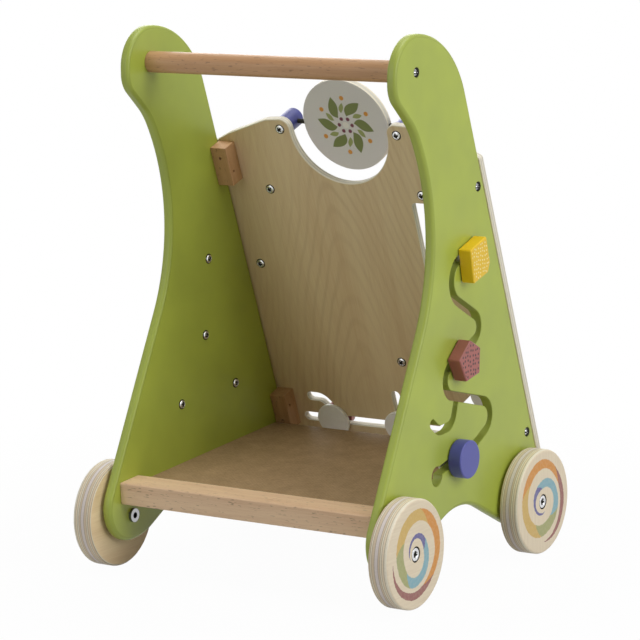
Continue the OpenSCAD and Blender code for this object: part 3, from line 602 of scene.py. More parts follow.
@kept
def wood(name, light, dark, along, rough=0.5, fleck=0.0, streak=1.0, turn=(0, 0, 0), arches=0.0):
    """Bare wood: streaks drawn out along the grain, fine fibres, and short dark flecks where asked.

    along is the axis of the grain, 0 to 2; coordinates along it are squeezed so that noise turns into streaks.
    Growth rings show as nested arches where asked: dark lines where z + b sqrt(1 + (x / a)^2) comes to whole steps.
    """
    f = Finish(name, rough, specular=0.35)

    def stretched(long, wide):
        scale = [wide] * 3
        scale[along] = long
        return f.place(tuple(scale), turn)

    broad = f.noise(stretched(5, 95), 1, 3, 0.55)
    fibre = f.noise(stretched(40, 1300), 1, 3, 0.6)
    mixed = f.times(fibre, 0.45, f.times(broad, 0.75 * streak))
    base = f.blend(f.range(mixed, 0.38, 0.82), linear(light), linear(dark))
    if arches > 0:
        x, _, z = f.split(f.place((1, 1, 1), turn, (ARCH_SHIFT, 0, 0)))
        reach = f.root(f.times(x, 1 / ARCH_WIDE), 1.0)
        level = f.times(reach, ARCH_HIGH, z)
        level = f.times(f.noise(f.place((24, 24, 9), turn), 1, 2), 0.05, level)
        wave = f.maths("SINE", f.times(level, FULL_TURN / ARCH_STEP))
        fade = f.range(f.noise(f.place((14, 14, 5), turn), 1, 1), 0.35, 0.7, 0, arches)
        base = f.blend(f.times(f.range(wave, 0.1, 1.0), fade), base, linear(shade(dark, 0.93)))
    if fleck > 0:
        spots = f.noise(stretched(170, 800), 1, 1, 0.4)
        base = f.blend(f.range(spots, 0.66, 0.72, 0, fleck), base, linear(shade(dark, 0.62)))
    return f.done(base, fibre, depth=0.00012, strength=0.3, rough=f.range(fibre, 0.3, 0.7, rough - 0.06, rough + 0.08))


@kept
def ply_edge(name, bands, line, node, normal, mirrored=False):
    """Cut edge of plywood: bands across the thickness with a thin glue line between them, and end-grain fibres.

    bands lists each ply's share of the CAD node's thickness and its colour, from the inner face outwards.
    """
    low, high = span(node, normal)
    thick = high - low
    f = Finish(name, 0.55, specular=0.3)
    here = f.place()
    if mirrored:
        here = f.node("ShaderNodeVectorMath", {0: here}, operation="ABSOLUTE").outputs[0]
    level = f.node("ShaderNodeVectorMath", {0: here, 1: tuple(normal)}, operation="DOT_PRODUCT").outputs["Value"]
    wobble = f.noise(f.place((45, 45, 45)), 1, 2)
    share = f.range(f.times(wobble, thick * 0.05, level), low, low + thick * 1.05)
    stops, at, total = [], 0.0, sum(width for width, _ in bands)
    for width, tone in bands:
        after = at + width / total
        stops += [(at + 0.012, linear(tone)), (after - 0.018, linear(shade(tone, 0.985))),
                  (after - 0.003, linear(line))]
        at = after
    layers = f.ramp(share, stops[:-1])
    fibre = f.noise(f.place((700, 700, 700)), 1, 3, 0.6)
    base = f.blend(f.range(fibre, 0.4, 0.75, 0, 0.12), layers, linear(shade(line, 1.02)))
    return f.done(base, fibre, depth=0.0001, strength=0.3)


@kept
def canvas_board(name, light, dark):
    """Textured brown board: two crossing sets of fine threads, broken by noise, over a slow mottling."""
    f = Finish(name, 0.62, specular=0.3)
    bend = f.noise(f.place(), 60, 2)
    one, two = (f.node("ShaderNodeTexWave", {"Vector": f.place(), "Scale": 130, "Distortion": 2.2, "Detail": 2},
                       wave_type="BANDS", bands_direction=way).outputs["Fac"] for way in "XY")
    weave = f.times(f.maths("ADD", one, two), 0.5)
    grain = f.noise(f.place((250, 900, 900)), 1, 3, 0.65)
    mixed = f.times(grain, 0.7, f.times(weave, 0.35, f.times(bend, 0.3)))
    base = f.blend(f.range(mixed, 0.48, 0.88), linear(dark), linear(light))
    return f.done(base, mixed, depth=0.00025, strength=0.45)


# Barrel nuts, in metres from the axle: where the socket's shadow fades out and where the rim's fades in
NUT_SOCKET, NUT_RIM, NUT_SHADOW = (0.0029, 0.0025), (0.0055, 0.0059), (0.17, 0.17, 0.16)


@kept
def zinc_steel(name, rgb, low, high, axle=None):
    """Zinc-plated steel with a faint uneven sheen, between two levels of its colour.

    Where an axle is given, the steel is a barrel nut's, with painted shade in the socket and round the rim. Both are
    told by the distance from the axle's line, the root of (|y| - axle y)^2 + (z - axle z)^2.
    """
    f = Finish(name, 0.3, metal=1.0)
    cloud = f.noise(f.place(), 420, 3)
    base = f.tones(cloud, rgb, low, high)
    if axle is not None:
        _, y, z = f.split(f.place())
        aside = f.minus(f.maths("ABSOLUTE", y), abs(axle[1]))
        far = f.root(aside, f.minus(z, axle[2]))
        shadow = f.maths("MAXIMUM", f.range(far, *NUT_SOCKET), f.range(far, *NUT_RIM, 0, 0.6))
        base = f.blend(shadow, base, linear(NUT_SHADOW))
    return f.done(base, cloud, depth=0.00004, strength=0.2, rough=f.range(cloud, 0.25, 0.75, 0.22, 0.4))


@kept
def dark_steel(name):
    """Near-black steel colour as painted shade: put in drivers' recesses, round sunk heads, in the wheels' hub recesses
    and on the spinner pins, where shade falls.
    """
    f = Finish(name, 0.6, specular=0.15)
    cloud = f.noise(f.place(), 500, 2)
    base = f.blend(cloud, linear((0.13, 0.13, 0.11)), linear((0.2, 0.2, 0.17)))
    return f.done(base, cloud, depth=0.00004, strength=0.2, rough=f.range(cloud, 0.25, 0.75, 0.5, 0.7))


@kept
def plastic(name, rgb):
    """Pale moulded plastic, slightly cloudy."""
    f = Finish(name, 0.36)
    cloud = f.noise(f.place(), 160, 3)
    fine = f.noise(f.place(), 2200, 1)
    base = f.tones(cloud, rgb, 0.95, 1.03)
    return f.done(base, fine, depth=0.00004, strength=0.2, rough=f.range(cloud, 0.2, 0.8, 0.3, 0.44))


# The wheels' rainbow spiral: the share of a turn where it starts, the turns that its tables span, and by turns from its
# start its radius and half width as shares of the wheel's, and its colours
SPIRAL_START, SPIRAL_TURNS = 200 / 360, 2.1
SPIRAL = [(0.0, 0.205, 0.003), (0.056, 0.228, 0.012), (0.145, 0.258, 0.024), (0.306, 0.333, 0.040),
          (0.556, 0.345, 0.082), (0.806, 0.495, 0.089), (1.056, 0.545, 0.118), (1.306, 0.703, 0.111),
          (1.556, 0.735, 0.091), (1.68, 0.69, 0.07), (1.806, 0.738, 0.07), (1.889, 0.772, 0.064),
          (1.972, 0.8, 0.037), (2.0, 0.797, 0.026), (2.05, 0.79, 0.006)]
SPIRAL_COLOURS = [(0.0, (94, 92, 150)), (0.484, (130, 176, 188)), (0.898, (166, 168, 109)), (1.109, (212, 176, 94)),
                  (1.378, (214, 142, 48)), (1.699, (150, 91, 84))]


@kept
def wheel_face(name, light, dark):
    """Birch wheel face with a painted spiral that widens, tapers at both ends and changes colour as it goes.

    With p the distance from the hub and t the turns clockwise from its start, a point is painted where p differs from
    the spiral's radius at t, t + 1 or t + 2 by less than its half width there. A new colour starts at the outer rim of
    the band and crosses it on the slant.
    """
    f = Finish(name, 0.42, coat=0.1, coat_rough=0.3)
    flat, far, turn = f.polar()
    grain = f.noise(f.scaled(flat, (1.2, 22, 1)), 1, 4, 0.6)
    base = f.blend(f.range(grain, 0.3, 0.75), linear(light), linear(dark))
    brush = f.noise(flat, 16, 3, 0.6)
    far = f.maths("ADD", far, f.range(brush, 0.2, 0.8, -0.012, 0.012))
    first = f.maths("FRACT", f.times(turn, -1 / FULL_TURN, SPIRAL_START + 1))
    band = [(at / SPIRAL_TURNS, (r, w, 0, 1)) for at, r, w in SPIRAL]
    colours = [(at / SPIRAL_TURNS, printed(rgb)) for at, rgb in SPIRAL_COLOURS]
    for lap in range(3):
        share = f.times(first, 1 / SPIRAL_TURNS, lap / SPIRAL_TURNS)
        radius, half, _ = f.node("ShaderNodeSeparateColor", {0: f.ramp(share, band, "CARDINAL")}).outputs
        ratio = f.maths("DIVIDE", f.minus(far, radius), f.maths("MAXIMUM", half, 0.002))
        inside = f.range(f.maths("ABSOLUTE", ratio), 1.06, 0.94)
        inside = f.times(inside, f.maths("LESS_THAN", share, SPIRAL[-1][0] / SPIRAL_TURNS))
        slant = f.times(ratio, 0.02, share)
        tone = f.blend(f.range(brush, 0.4, 0.75, 0, 0.14), f.ramp(slant, colours, "CONSTANT"), linear(light))
        base = f.blend(inside, base, tone)
    return f.done(base, grain, depth=0.00008, strength=0.25)


# The disc's wreath, with lengths as shares of the disc's radius. Leaves: number, start as a share of a leaf's sector,
# inner and outer end, half width, swirl and colour. Berries: number, start, distance from the middle, radius and colour
LEAVES = [(6, 0.1, 0.2, 0.66, 0.125, 0.9, (116, 126, 66)), (6, 0.6, 0.26, 0.5, 0.06, 0.9, (150, 158, 92))]
BERRIES = [(6, 0.05, 0.6, 0.05, (214, 146, 48)), (6, 0.5, 0.15, 0.042, (112, 48, 66)),
           (1, 0.5, 0.0, 0.07, (236, 232, 222))]
LEAF_BLUR, BERRY_BLUR = 0.012, 0.008


@kept
def disc_face(name, grey):
    """Speckled grey print with a plain wreath: two rings of six leaves, two of six berries and one berry in the middle.

    In the face's own coordinates a leaf is painted where the distance from the middle lies in its band and the angle
    within a sixth of a turn is less than the leaf's half width, which shrinks to nothing at both ends of the band. A
    berry is painted where the distance from its middle is less than its radius.
    """
    f = Finish(name, 0.5)
    flat, far, turn = f.polar()
    speck = f.noise(flat, 120, 2, 0.7)
    base = f.ramp(speck, [(0.3, linear(shade(grey, 0.86))), (0.5, linear(grey)), (0.7, linear(shade(grey, 1.1)))])

    def cell(angle, count, start):
        return f.maths("FRACT", f.times(angle, count / FULL_TURN, start + count))

    for count, start, near, end, wide, swirl, rgb in LEAVES:
        part = cell(f.times(far, swirl, turn), count, start)
        aside = f.times(f.maths("ABSOLUTE", f.minus(part, 0.5)), far)
        along = f.range(far, near, end)
        room = f.times(f.maths("SINE", f.times(along, math.pi)), wide)
        base = f.blend(f.range(f.minus(room, aside), 0.0, LEAF_BLUR), base, printed(rgb))
    for count, start, at, radius, rgb in BERRIES:
        aside = f.times(f.minus(cell(turn, count, start), 0.5), FULL_TURN * at / count)
        gap = f.root(aside, f.minus(far, at))
        base = f.blend(f.range(gap, radius + BERRY_BLUR, radius - BERRY_BLUR), base, printed(rgb))
    return f.done(base, speck, depth=0.00005, strength=0.2)


# The toy's plain paints: the slot of each colour, and its roughness
TOY_PAINTS = {"green": ("green_paint", 0.42), "yellow": ("yellow_paint", 0.4), "red_brown": ("red_brown_paint", 0.45),
              "violet": ("blue_violet_paint", 0.4)}


def toy_paint(c, tone):
    """Slot of one of the toy's colours, and its plain paint."""
    slot, rough = TOY_PAINTS[tone]
    return slot, paint(tone + "_paint", getattr(c, tone), rough)


def plain_beech(c):
    return wood("beech", c.beech, c.beech_dark, 0, fleck=0.5, streak=0.8)


def steamed_beech(c, name, along, rough, turn=(0, 0, 0)):
    return wood(name, c.brown_beech, c.brown_dark, along, rough, fleck=0.45, turn=turn)


def birch_face(c):
    return wood("birch_face", c.birch, c.birch_dark, 2, streak=0.7, turn=(-LEAN, 0, 0), arches=0.35)


def wheel_side(c):
    return wood("wheel_side", c.wheel_inner, c.inner_dark, 1, streak=0.8)


def bright_steel(c):
    return zinc_steel("zinc_steel", c.steel, 0.86, 1.0)


# Operators, in the order in which they run


class WALKER_OT_stage(bpy.types.Operator):
    """Camera at the photograph's angle, pale floor, faint room light and four large soft lamps"""

    bl_idname = "walker.stage"
    bl_label = "Stage"

    # Place and diameter of each lamp, and the point that they shine at
    LAMPS = {"key": ((1.7, -0.2, 0.95), 1.4), "fill": ((-0.7, -2.0, 0.9), 1.6), "top": ((0.15, 0.1, 2.1), 1.5),
             "side": ((-1.5, 1.5, 1.1), 1.5)}
    SHINE_AT = Vector((0, 0, 0.2))
    WHITE = (1, 1, 1, 1)
    # Half the floor's width, its grey, and the distances between which its share of white rises, with both shares
    FLOOR_HALF = 6.0
    FLOOR_GREY = (0.55, 0.55, 0.55, 1)
    FLOOR_FADE = (0.25, 0.65, 0.975, 1.0)

    def execute(self, context):
        scene, s = context.scene, context.scene.walker_stage
        a, e = s.azimuth, s.elevation
        right = Vector((math.cos(a), math.sin(a), 0))
        up = Vector((-math.sin(a) * math.sin(e), math.cos(a) * math.sin(e), math.cos(e)))
        back = Vector((math.sin(a) * math.cos(e), -math.cos(a) * math.cos(e), math.sin(e)))
        side = right * math.cos(s.roll) + up * math.sin(s.roll)
        top = up * math.cos(s.roll) - right * math.sin(s.roll)
        data = bpy.data.cameras.new("camera")
        data.sensor_width = 36
        data.lens = s.lens
        data.clip_end = 50
        camera = bpy.data.objects.new("camera", data)
        camera.matrix_world = Matrix.Translation(Vector(s.aim) + back * s.distance) @ Matrix(
            (side, top, back)).transposed().to_4x4()
        scene.collection.objects.link(camera)
        scene.camera = camera
        scene.view_settings.view_transform = "Standard"
        for name, (place, wide) in self.LAMPS.items():
            self.lamp(scene, name + "_lamp", Vector(place), wide, getattr(s, name + "_power"))
        self.room(scene, s.room_level)
        self.floor(scene)
        return {"FINISHED"}

    def lamp(self, scene, name, place, wide, power):
        data = bpy.data.lights.new(name, "AREA")
        data.shape = "DISK"
        data.size = wide
        data.energy = power
        lamp = bpy.data.objects.new(name, data)
        lamp.location = place
        lamp.rotation_euler = (place - self.SHINE_AT).to_track_quat("Z", "Y").to_euler()
        scene.collection.objects.link(lamp)

    def room(self, scene, level):
        """Even light from all round, from surroundings that are seen as white."""
        world = bpy.data.worlds.new("room")
        world.use_nodes = True
        nodes = Nodes(world.node_tree)
        light = nodes.tree.nodes["Background"]
        light.inputs["Color"].default_value = self.WHITE
        light.inputs["Strength"].default_value = level
        white = nodes.node("ShaderNodeBackground", {"Color": self.WHITE, "Strength": 1})
        nodes.surface("World Output", nodes.seen(), light, white)
        scene.world = world

    def floor(self, scene):
        """Dull floor that takes faint shadows near the walker and is seen as white farther off."""
        half = self.FLOOR_HALF
        mesh = bpy.data.meshes.new("floor")
        mesh.from_pydata([(-half, -half, 0), (half, -half, 0), (half, half, 0), (-half, half, 0)], [], [(0, 1, 2, 3)])
        f = Finish("pale_floor", 0.9)
        f.shader.inputs["Base Color"].default_value = self.FLOOR_GREY
        white = f.node("ShaderNodeEmission", {"Strength": 1})
        here = f.node("ShaderNodeTexCoord").outputs["Object"]
        away = f.node("ShaderNodeVectorMath", {0: here}, operation="LENGTH").outputs["Value"]
        share = f.times(f.seen(), f.range(away, *self.FLOOR_FADE))
        f.surface("Material Output", share, f.shader, white)
        mesh.materials.append(f.mat)
        floor = bpy.data.objects.new("floor", mesh)
        scene.collection.objects.link(floor)


class WALKER_OT_side_panels(bpy.types.Operator):
    """Green side panels with rounded outlines, slots and screw holes"""

    bl_idname = "walker.side_panels"
    bl_label = "Side panels"

    def execute(self, context):
        size, c = settings(context)
        slot, green = toy_paint(c, "green")
        # The cut edges take the green darkened to 0.92, as painted shade
        edge = paint("green_edge", shade(c.green, 0.92), 0.5)
        for out, name in ((-X_AXIS, "left"), (X_AXIS, "right")):
            node = "side_panel_" + name
            shape = plate_of(node, out, Z_AXIS, size.panel_edge, size.slot_edge, size.arc_parts)
            piece("painted_side_" + name, shape, [green, edge, green], "frame", [node], shape[2])
        return {"FINISHED"}


class WALKER_OT_handle(bpy.types.Operator):
    """Round beech handle between the side panels"""

    bl_idname = "walker.handle"
    bl_label = "Handle"

    def execute(self, context):
        size, c = settings(context)
        shape = rod_of("handle_bar", X_AXIS, Z_AXIS, HANDLE_END, size.round_count)
        piece("handle_grip", shape, [steamed_beech(c, "handle_beech", 0, 0.42)], "frame", ["handle_bar"])
        return {"FINISHED"}


class WALKER_OT_activity_board(bpy.types.Operator):
    """Leaning plywood board with its cut-out, window and slots, banded on the cut edges"""

    bl_idname = "walker.activity_board"
    bl_label = "Activity board"

    def execute(self, context):
        size, c = settings(context)
        shape = plate_of("front_board", BOARD_OUT, BOARD_UP, size.board_edge, HOLE_EDGE, size.arc_parts)
        bands = [(1, c.ply_pale), (1.2, c.ply_grey), (1.2, c.ply_pale), (1.2, c.ply_grey), (1, c.ply_pale)]
        edge = ply_edge("board_edge", bands, c.ply_line, "front_board", BOARD_OUT)
        piece("ply_board", shape, [birch_face(c), edge, birch_face(c)], "frame", ["front_board"],
              shape[2])
        return {"FINISHED"}


class WALKER_OT_corner_blocks(bpy.types.Operator):
    """Beech corner blocks with eased edges"""

    bl_idname = "walker.corner_blocks"
    bl_label = "Corner blocks"

    def execute(self, context):
        size, c = settings(context)
        mat = steamed_beech(c, "block_beech", 2, 0.5, (-LEAN, 0, 0))
        for name in ("upper_left", "upper_right", "lower_left", "lower_right"):
            dress("corner_block_" + name, mat, size.block_edge)
        return {"FINISHED"}


class WALKER_OT_tray(bpy.types.Operator):
    """Textured tray board, the rear rail with its lip and ledge, and the front rail under the tray"""

    bl_idname = "walker.tray"
    bl_label = "Tray"

    # Sine of the least turn in the rail's outline that counts as a corner
    CORNER = 0.05

    def execute(self, context):
        size, c = settings(context)
        dress("tray_board", canvas_board("tray_board", c.tray, c.tray_dark))
        dress("front_rail", plain_beech(c), size.block_edge)
        outline = face_loops("rear_rail", X_AXIS)[0] @ np.stack([Y_AXIS, Z_AXIS], 1)
        ahead = unit(np.roll(outline, -1, 0) - outline)
        turn = turn_of(np.roll(ahead, 1, 0), ahead)
        corner = np.abs(turn) > self.CORNER
        loop = eased(outline[corner], np.where(turn[corner] > 0, size.rail_edge, 0))
        low, high = span("rear_rail", X_AXIS)
        shape = plate([loop], X_AXIS, Z_AXIS, high, high - low, [RAIL_END])
        piece("rail_bar", shape, [plain_beech(c)], "frame", ["rear_rail"])
        return {"FINISHED"}


class WALKER_OT_wheels(bpy.types.Operator):
    """Plywood wheels with a painted spiral outside, a sunk hub and banded treads"""

    bl_idname = "walker.wheels"
    bl_label = "Wheels"

    # How far each wheel's picture is turned, in degrees, and the hub's and the bore's sizes in metres
    TURNS = {"rear_right": 0, "front_right": 90, "rear_left": 140, "front_left": -60}
    HUB, HUB_DEPTH, HUB_EDGE, BORE = 0.0065, 0.0040, 0.0006, 0.00406
    # Shares of the rim's rounding that belong to the painted face and to the tread
    FACE_SHARE, TREAD_SHARE = 0.3, 0.7

    def execute(self, context):
        size, c = settings(context)
        pale, tan = c.ply_pale, shade(c.wheel_dark, 0.98)
        bands = [(0.06, pale), (0.10, tan), (0.07, pale), (0.14, tan), (0.17, c.tread_grey), (0.10, tan), (0.08, pale),
                 (0.11, c.wheel), (0.17, pale)]
        tread = ply_edge("wheel_tread", bands, shade(c.birch_dark, 0.72), "wheel_rear_right", X_AXIS, mirrored=True)
        painted = wheel_face("wheel_spiral", c.wheel, c.wheel_dark)
        for name, turn in self.TURNS.items():
            axis = X_AXIS if name.endswith("right") else -X_AXIS
            foot, tall, radius = seat("wheel_" + name, axis, Z_AXIS)
            floor = tall - self.HUB_DEPTH
            corners = [[self.BORE, 0], [radius, 0], [radius, tall], [self.HUB, tall], [self.HUB, floor],
                       [self.BORE, floor]]
            profile = eased(corners, [0, size.rim_edge, size.rim_edge, self.HUB_EDGE, 0, 0])
            points, faces = turned_piece(profile, foot, axis, Z_AXIS, size.round_count)
            r, h = (profile + np.roll(profile, -1, 0)).T / 2
            group = np.where(r > radius - size.rim_edge * self.TREAD_SHARE, 1, 0)
            group[h > tall - size.rim_edge * self.FACE_SHARE] = 2
            # The hub's sunk floor and wall take the near-black steel colour as painted shade
            group[(r < self.HUB + HAIR) & (h > floor - HAIR)] = 3
            flat = (points - foot) @ np.stack([np.cross(Z_AXIS, axis), Z_AXIS], 1) / radius
            a = math.radians(-turn)
            uv = flat @ np.array([[math.cos(a), math.sin(a)], [-math.sin(a), math.cos(a)]])
            # The fourth finish is the near-black painted shade of the hub's recess
            finishes = [wheel_side(c), tread, painted, dark_steel("dark_steel")]
            piece("ply_wheel_" + name, (points, faces), finishes, name + "_wheel", ["wheel_" + name],
                  np.repeat(group, size.round_count), uv)
        return {"FINISHED"}


class WALKER_OT_flip_disc(bpy.types.Operator):
    """Flip-over disc with a printed face on both sides, and its two painted dowel posts"""

    bl_idname = "walker.flip_disc"
    bl_label = "Flip-over disc"

    # Part of the thickness at each face that is printed, in metres
    PRINTED = 0.0003

    def execute(self, context):
        size, c = settings(context)
        foot, tall, radius = seat("spinner_disc", BOARD_OUT, BOARD_UP)
        points, faces = rod_of("spinner_disc", BOARD_OUT, BOARD_UP, DISC_EDGE, size.round_count)
        bands = [(1, c.ply_pale), (1.3, c.ply_grey), (1, c.ply_pale)]
        finishes = [disc_face("speckled_print", c.disc),
                    ply_edge("disc_edge", bands, c.ply_line, "spinner_disc", BOARD_OUT)]
        level = (np.concatenate([points[part].mean(1) for part in faces]) - foot) @ BOARD_OUT
        group = np.where((level > self.PRINTED) & (level < tall - self.PRINTED), 1, 0)
        uv = (points - foot) @ np.stack([X_AXIS, BOARD_UP], 1) / radius
        piece("printed_disc", (points, faces), finishes, "spinner", ["spinner_disc"], group, uv)
        # The posts' violet is darkened to 0.84 as painted shade; the bead posts keep the plain violet
        violet = paint("post_paint", shade(c.violet, 0.84), 0.45)
        for name in ("left", "right"):
            post = "spinner_post_" + name
            shape = rod_of(post, BOARD_OUT, BOARD_UP, POST_EDGE, size.round_count)
            piece("violet_post_" + name, shape, [violet], "frame", [post])
        return {"FINISHED"}


# Retaining discs: the disc's thickness and its peg's radius, and the rounding at each corner of their outline
RETAINER_THICK, PEG = 0.0034, 0.0035
RETAINER_EDGES = [0, 0.0009, 0.0009, 0.0003, 0.0004, 0]


def retainer(context, name, node, axis, up, body):
    """Retaining disc with its peg: a wide eased disc at the foot and a thin stem up to the node's full height."""
    size, c = settings(context)
    foot, tall, radius = seat(node, axis, up)
    corners = [[0, 0], [radius, 0], [radius, RETAINER_THICK], [PEG, RETAINER_THICK], [PEG, tall], [0, tall]]
    shape = turned_piece(eased(corners, RETAINER_EDGES, 5), foot, axis, up, size.round_count)
    piece(name, shape, [plastic("grey_plastic", c.grey)], body, [node])


class WALKER_OT_slot_sliders(bpy.types.Operator):
    """Knobs in the winding slot of the right panel, with their retaining discs and pegs inside"""

    bl_idname = "walker.slot_sliders"
    bl_label = "Slot sliders"

    TONES = {"yellow": "yellow", "red": "red_brown", "blue": "violet"}

    def execute(self, context):
        size, c = settings(context)
        dotted = {
            "yellow": paint("yellow_dotted", c.yellow, 0.4, c.yellow_dots, dot_size=0.0034, dot_share=0.22),
            "red": paint("red_dotted", shade(c.red_brown, 1.08), 0.45, c.red_dots, dot_size=0.0040, dot_share=0.27),
        }
        for name, tone in self.TONES.items():
            node = "slot_knob_" + name
            slot, plain = toy_paint(c, tone)
            if name in dotted:
                shape = plate_of(node, X_AXIS, Z_AXIS, size.knob_edge, HOLE_EDGE, 2)
                piece("knob_" + name, shape, [dotted[name], plain], name + "_slider", [node], shape[2])
            else:
                shape = rod_of(node, X_AXIS, Z_AXIS, size.knob_edge, size.round_count)
                piece("knob_" + name, shape, [plain], name + "_slider", [node])
        for name in self.TONES:
            retainer(context, "retaining_disc_" + name, "slot_retainer_" + name, X_AXIS, Z_AXIS, name + "_slider")
        return {"FINISHED"}


class WALKER_OT_board_sliders(bpy.types.Operator):
    """Knobs in front of the board's slots and their retaining discs behind them"""

    bl_idname = "walker.board_sliders"
    bl_label = "Board sliders"

    TONES = {"left": "red_brown", "middle": "yellow", "right": "violet"}
    KNOB_EDGES = (0.0008, 0.003)

    def execute(self, context):
        size, c = settings(context)
        for name, tone in self.TONES.items():
            slot, mat = toy_paint(c, tone)
            node, body = "board_knob_" + name, name + "_board_slider"
            shape = rod_of(node, BOARD_OUT, BOARD_UP, self.KNOB_EDGES, size.round_count, 6)
            piece("front_knob_" + name, shape, [mat], body, [node])
            retainer(context, "rear_disc_" + name, "board_retainer_" + name, BOARD_OUT, BOARD_UP, body)
        return {"FINISHED"}


class WALKER_OT_play_gears(bpy.types.Operator):
    """Play gears on the left panel, with eased teeth"""

    bl_idname = "walker.play_gears"
    bl_label = "Play gears"

    def execute(self, context):
        size, c = settings(context)
        looks = {"middle": toy_paint(c, "yellow"), "top": toy_paint(c, "violet"), "rear": toy_paint(c, "red_brown"),
                 "front": ("birch_plywood", birch_face(c))}
        for name, (slot, mat) in looks.items():
            node = "gear_" + name
            shape = plate_of(node, -X_AXIS, Z_AXIS, size.gear_edge, size.gear_edge, 2)
            piece("toothed_" + name, shape, [mat], name + "_gear", [node])
        dress("gear_axles", bright_steel(c))
        return {"FINISHED"}


class WALKER_OT_bead_rails(bpy.types.Operator):
    """Two rods between standing dowel posts on the front of the board, with two beads on each"""

    bl_idname = "walker.bead_rails"
    bl_label = "Bead rails"

    TONES = {"upper_left": "yellow", "upper_right": "red_brown", "lower_left": "violet", "lower_right": "green"}
    # Radius of the beads' bore and rounding of its ends in metres, and the beads' rounding as a share of their radius
    BORE, BORE_EDGE, ROUNDING = 0.00256, 0.0003, 0.48

    def execute(self, context):
        _, c = settings(context)
        for name, tone in self.TONES.items():
            axis = np.array(JOINTS[name + "_bead_slide"]["axis"])
            up = np.cross(BOARD_OUT, axis)
            foot, tall, radius = seat("bead_" + name, axis, up)
            corners = [[self.BORE, 0], [radius, 0], [radius, tall], [self.BORE, tall]]
            edge = radius * self.ROUNDING
            profile = eased(corners, [self.BORE_EDGE, edge, edge, self.BORE_EDGE], 8)
            shape = turned_piece(profile, foot, axis, up, SMALL_COUNT)
            slot, mat = toy_paint(c, tone)
            piece("bead_on_" + name, shape, [mat], name + "_bead", ["bead_" + name])
            post = "bead_post_" + name
            slot, mat = toy_paint(c, "violet")
            shape = rod_of(post, BOARD_OUT, BOARD_UP, POST_EDGE, SMALL_COUNT)
            piece("rail_post_" + name, shape, [mat], "frame", [post])
        for name in ("upper", "lower"):
            dress("bead_rod_" + name, bright_steel(c))
        return {"FINISHED"}


# Screws of one CAD node, in metres: corners of one head lie closer than the first, and a screw's own corners lie within
# the second aside of its head's middle and the third below it
HEAD_GAP, SCREW_ASIDE, SCREW_DEEP = 0.006, 0.008, 0.05

# Screw heads: rings of the face, the share of the rim's depth at its middle, and the turns in radians of the first
# recess and from each one to the next
FACE_RINGS, FACE_DISH, FIRST_TURN, NEXT_TURN = 18, 0.8, 0.7, 1.1

# Recesses: the width of their sloping wall in metres, and the share of their depth from which they take the painted
# shade
RECESS_WALL, RECESS_SHADE = 0.0003, 0.15


def heads(node, axis):
    """Middles of the heads that lie outermost along axis in a CAD node, and the length of its screws.

    The corners in the outermost plane are told apart by distance: each takes the lowest number within 6 mm of it, a few
    times over, so that the corners of one head end with the same number.
    """
    points = points_of(node)
    level = points @ axis
    top = points[level > level.max() - SAME_PLANE]
    near = np.linalg.norm(top[:, None] - top[None], axis=2) < HEAD_GAP
    label = np.arange(len(top))
    for _ in range(8):
        label = np.where(near, label, len(top)).min(1)
    groups = [top[label == number] for number in np.unique(label)]
    middles = [(group.min(0) + group.max(0)) / 2 for group in groups]
    away = points - middles[0]
    aside = np.linalg.norm(away - (away @ axis)[:, None] * axis, axis=1)
    deep = -(away @ axis)[(aside < SCREW_ASIDE) & (away @ axis > -SCREW_DEEP)].max()
    return middles, deep


def recess(places, kind, wide):
    """Share of a driver's recess's depth at places measured from its middle, as rows of u and v across the face.

    A cross is where one of u and v is less than a fifth of wide and the other less than half of it, and a hexagon is
    where u and (u + sqrt(3) v) / 2 are less than half of it.
    """
    u, v = np.abs(places).T
    thin, half = 0.2 * wide, 0.5 * wide
    if kind == "cross":
        gap = np.minimum(np.maximum(u - thin, v - half), np.maximum(v - thin, u - half))
    else:
        gap = np.maximum(u, (u + math.sqrt(3) * v) / 2) - half
    return np.clip(-gap / RECESS_WALL, 0, 1)


def driven(node, axes, up, shaft, head, rim, kind, wide, depth):
    """Screws or bolts of a CAD node: a turned outline at each head's place, with a driver's recess pressed into it.

    head lists [radius, height below the top plane] in millimetres from under the head to the edge of its face.
    Returns points with faces, and which faces take the painted shade: those in the recess and those outside the radius
    rim.
    """
    points, faces, dark, start = [], [], [], 0
    edge = np.array(head) * MILLIMETRE
    face = np.linspace(edge[-1], [0, edge[-1, 1] * FACE_DISH], FACE_RINGS)[1:]
    for axis in axes:
        middles, deep = heads(node, axis)
        outline = np.concatenate([[[0, -deep], [shaft, -deep], [shaft, edge[0, 1]]], edge, face])
        for number, middle in enumerate(middles):
            places, parts = turned_piece(outline, middle, axis, up, SMALL_COUNT)
            turn = FIRST_TURN + NEXT_TURN * number
            along = math.cos(turn) * up + math.sin(turn) * np.cross(axis, up)
            lines = np.stack([along, np.cross(axis, along)], 1)
            high = (places - middle) @ axis > edge[-1, 1] - HAIR
            places = places - (high * recess((places - middle) @ lines, kind, wide) * depth)[:, None] * axis
            centre = np.concatenate([places[part].mean(1) for part in parts]) - middle
            outside = np.linalg.norm(np.cross(centre, axis), axis=1) > rim
            # Faces deep in the recess or outside the rim get the near-black painted shade
            dark.append(outside | (recess(centre @ lines, kind, wide) > RECESS_SHADE))
            points.append(places)
            faces += [part + start for part in parts]
            start += len(places)
    return (np.concatenate(points), faces), np.concatenate(dark)


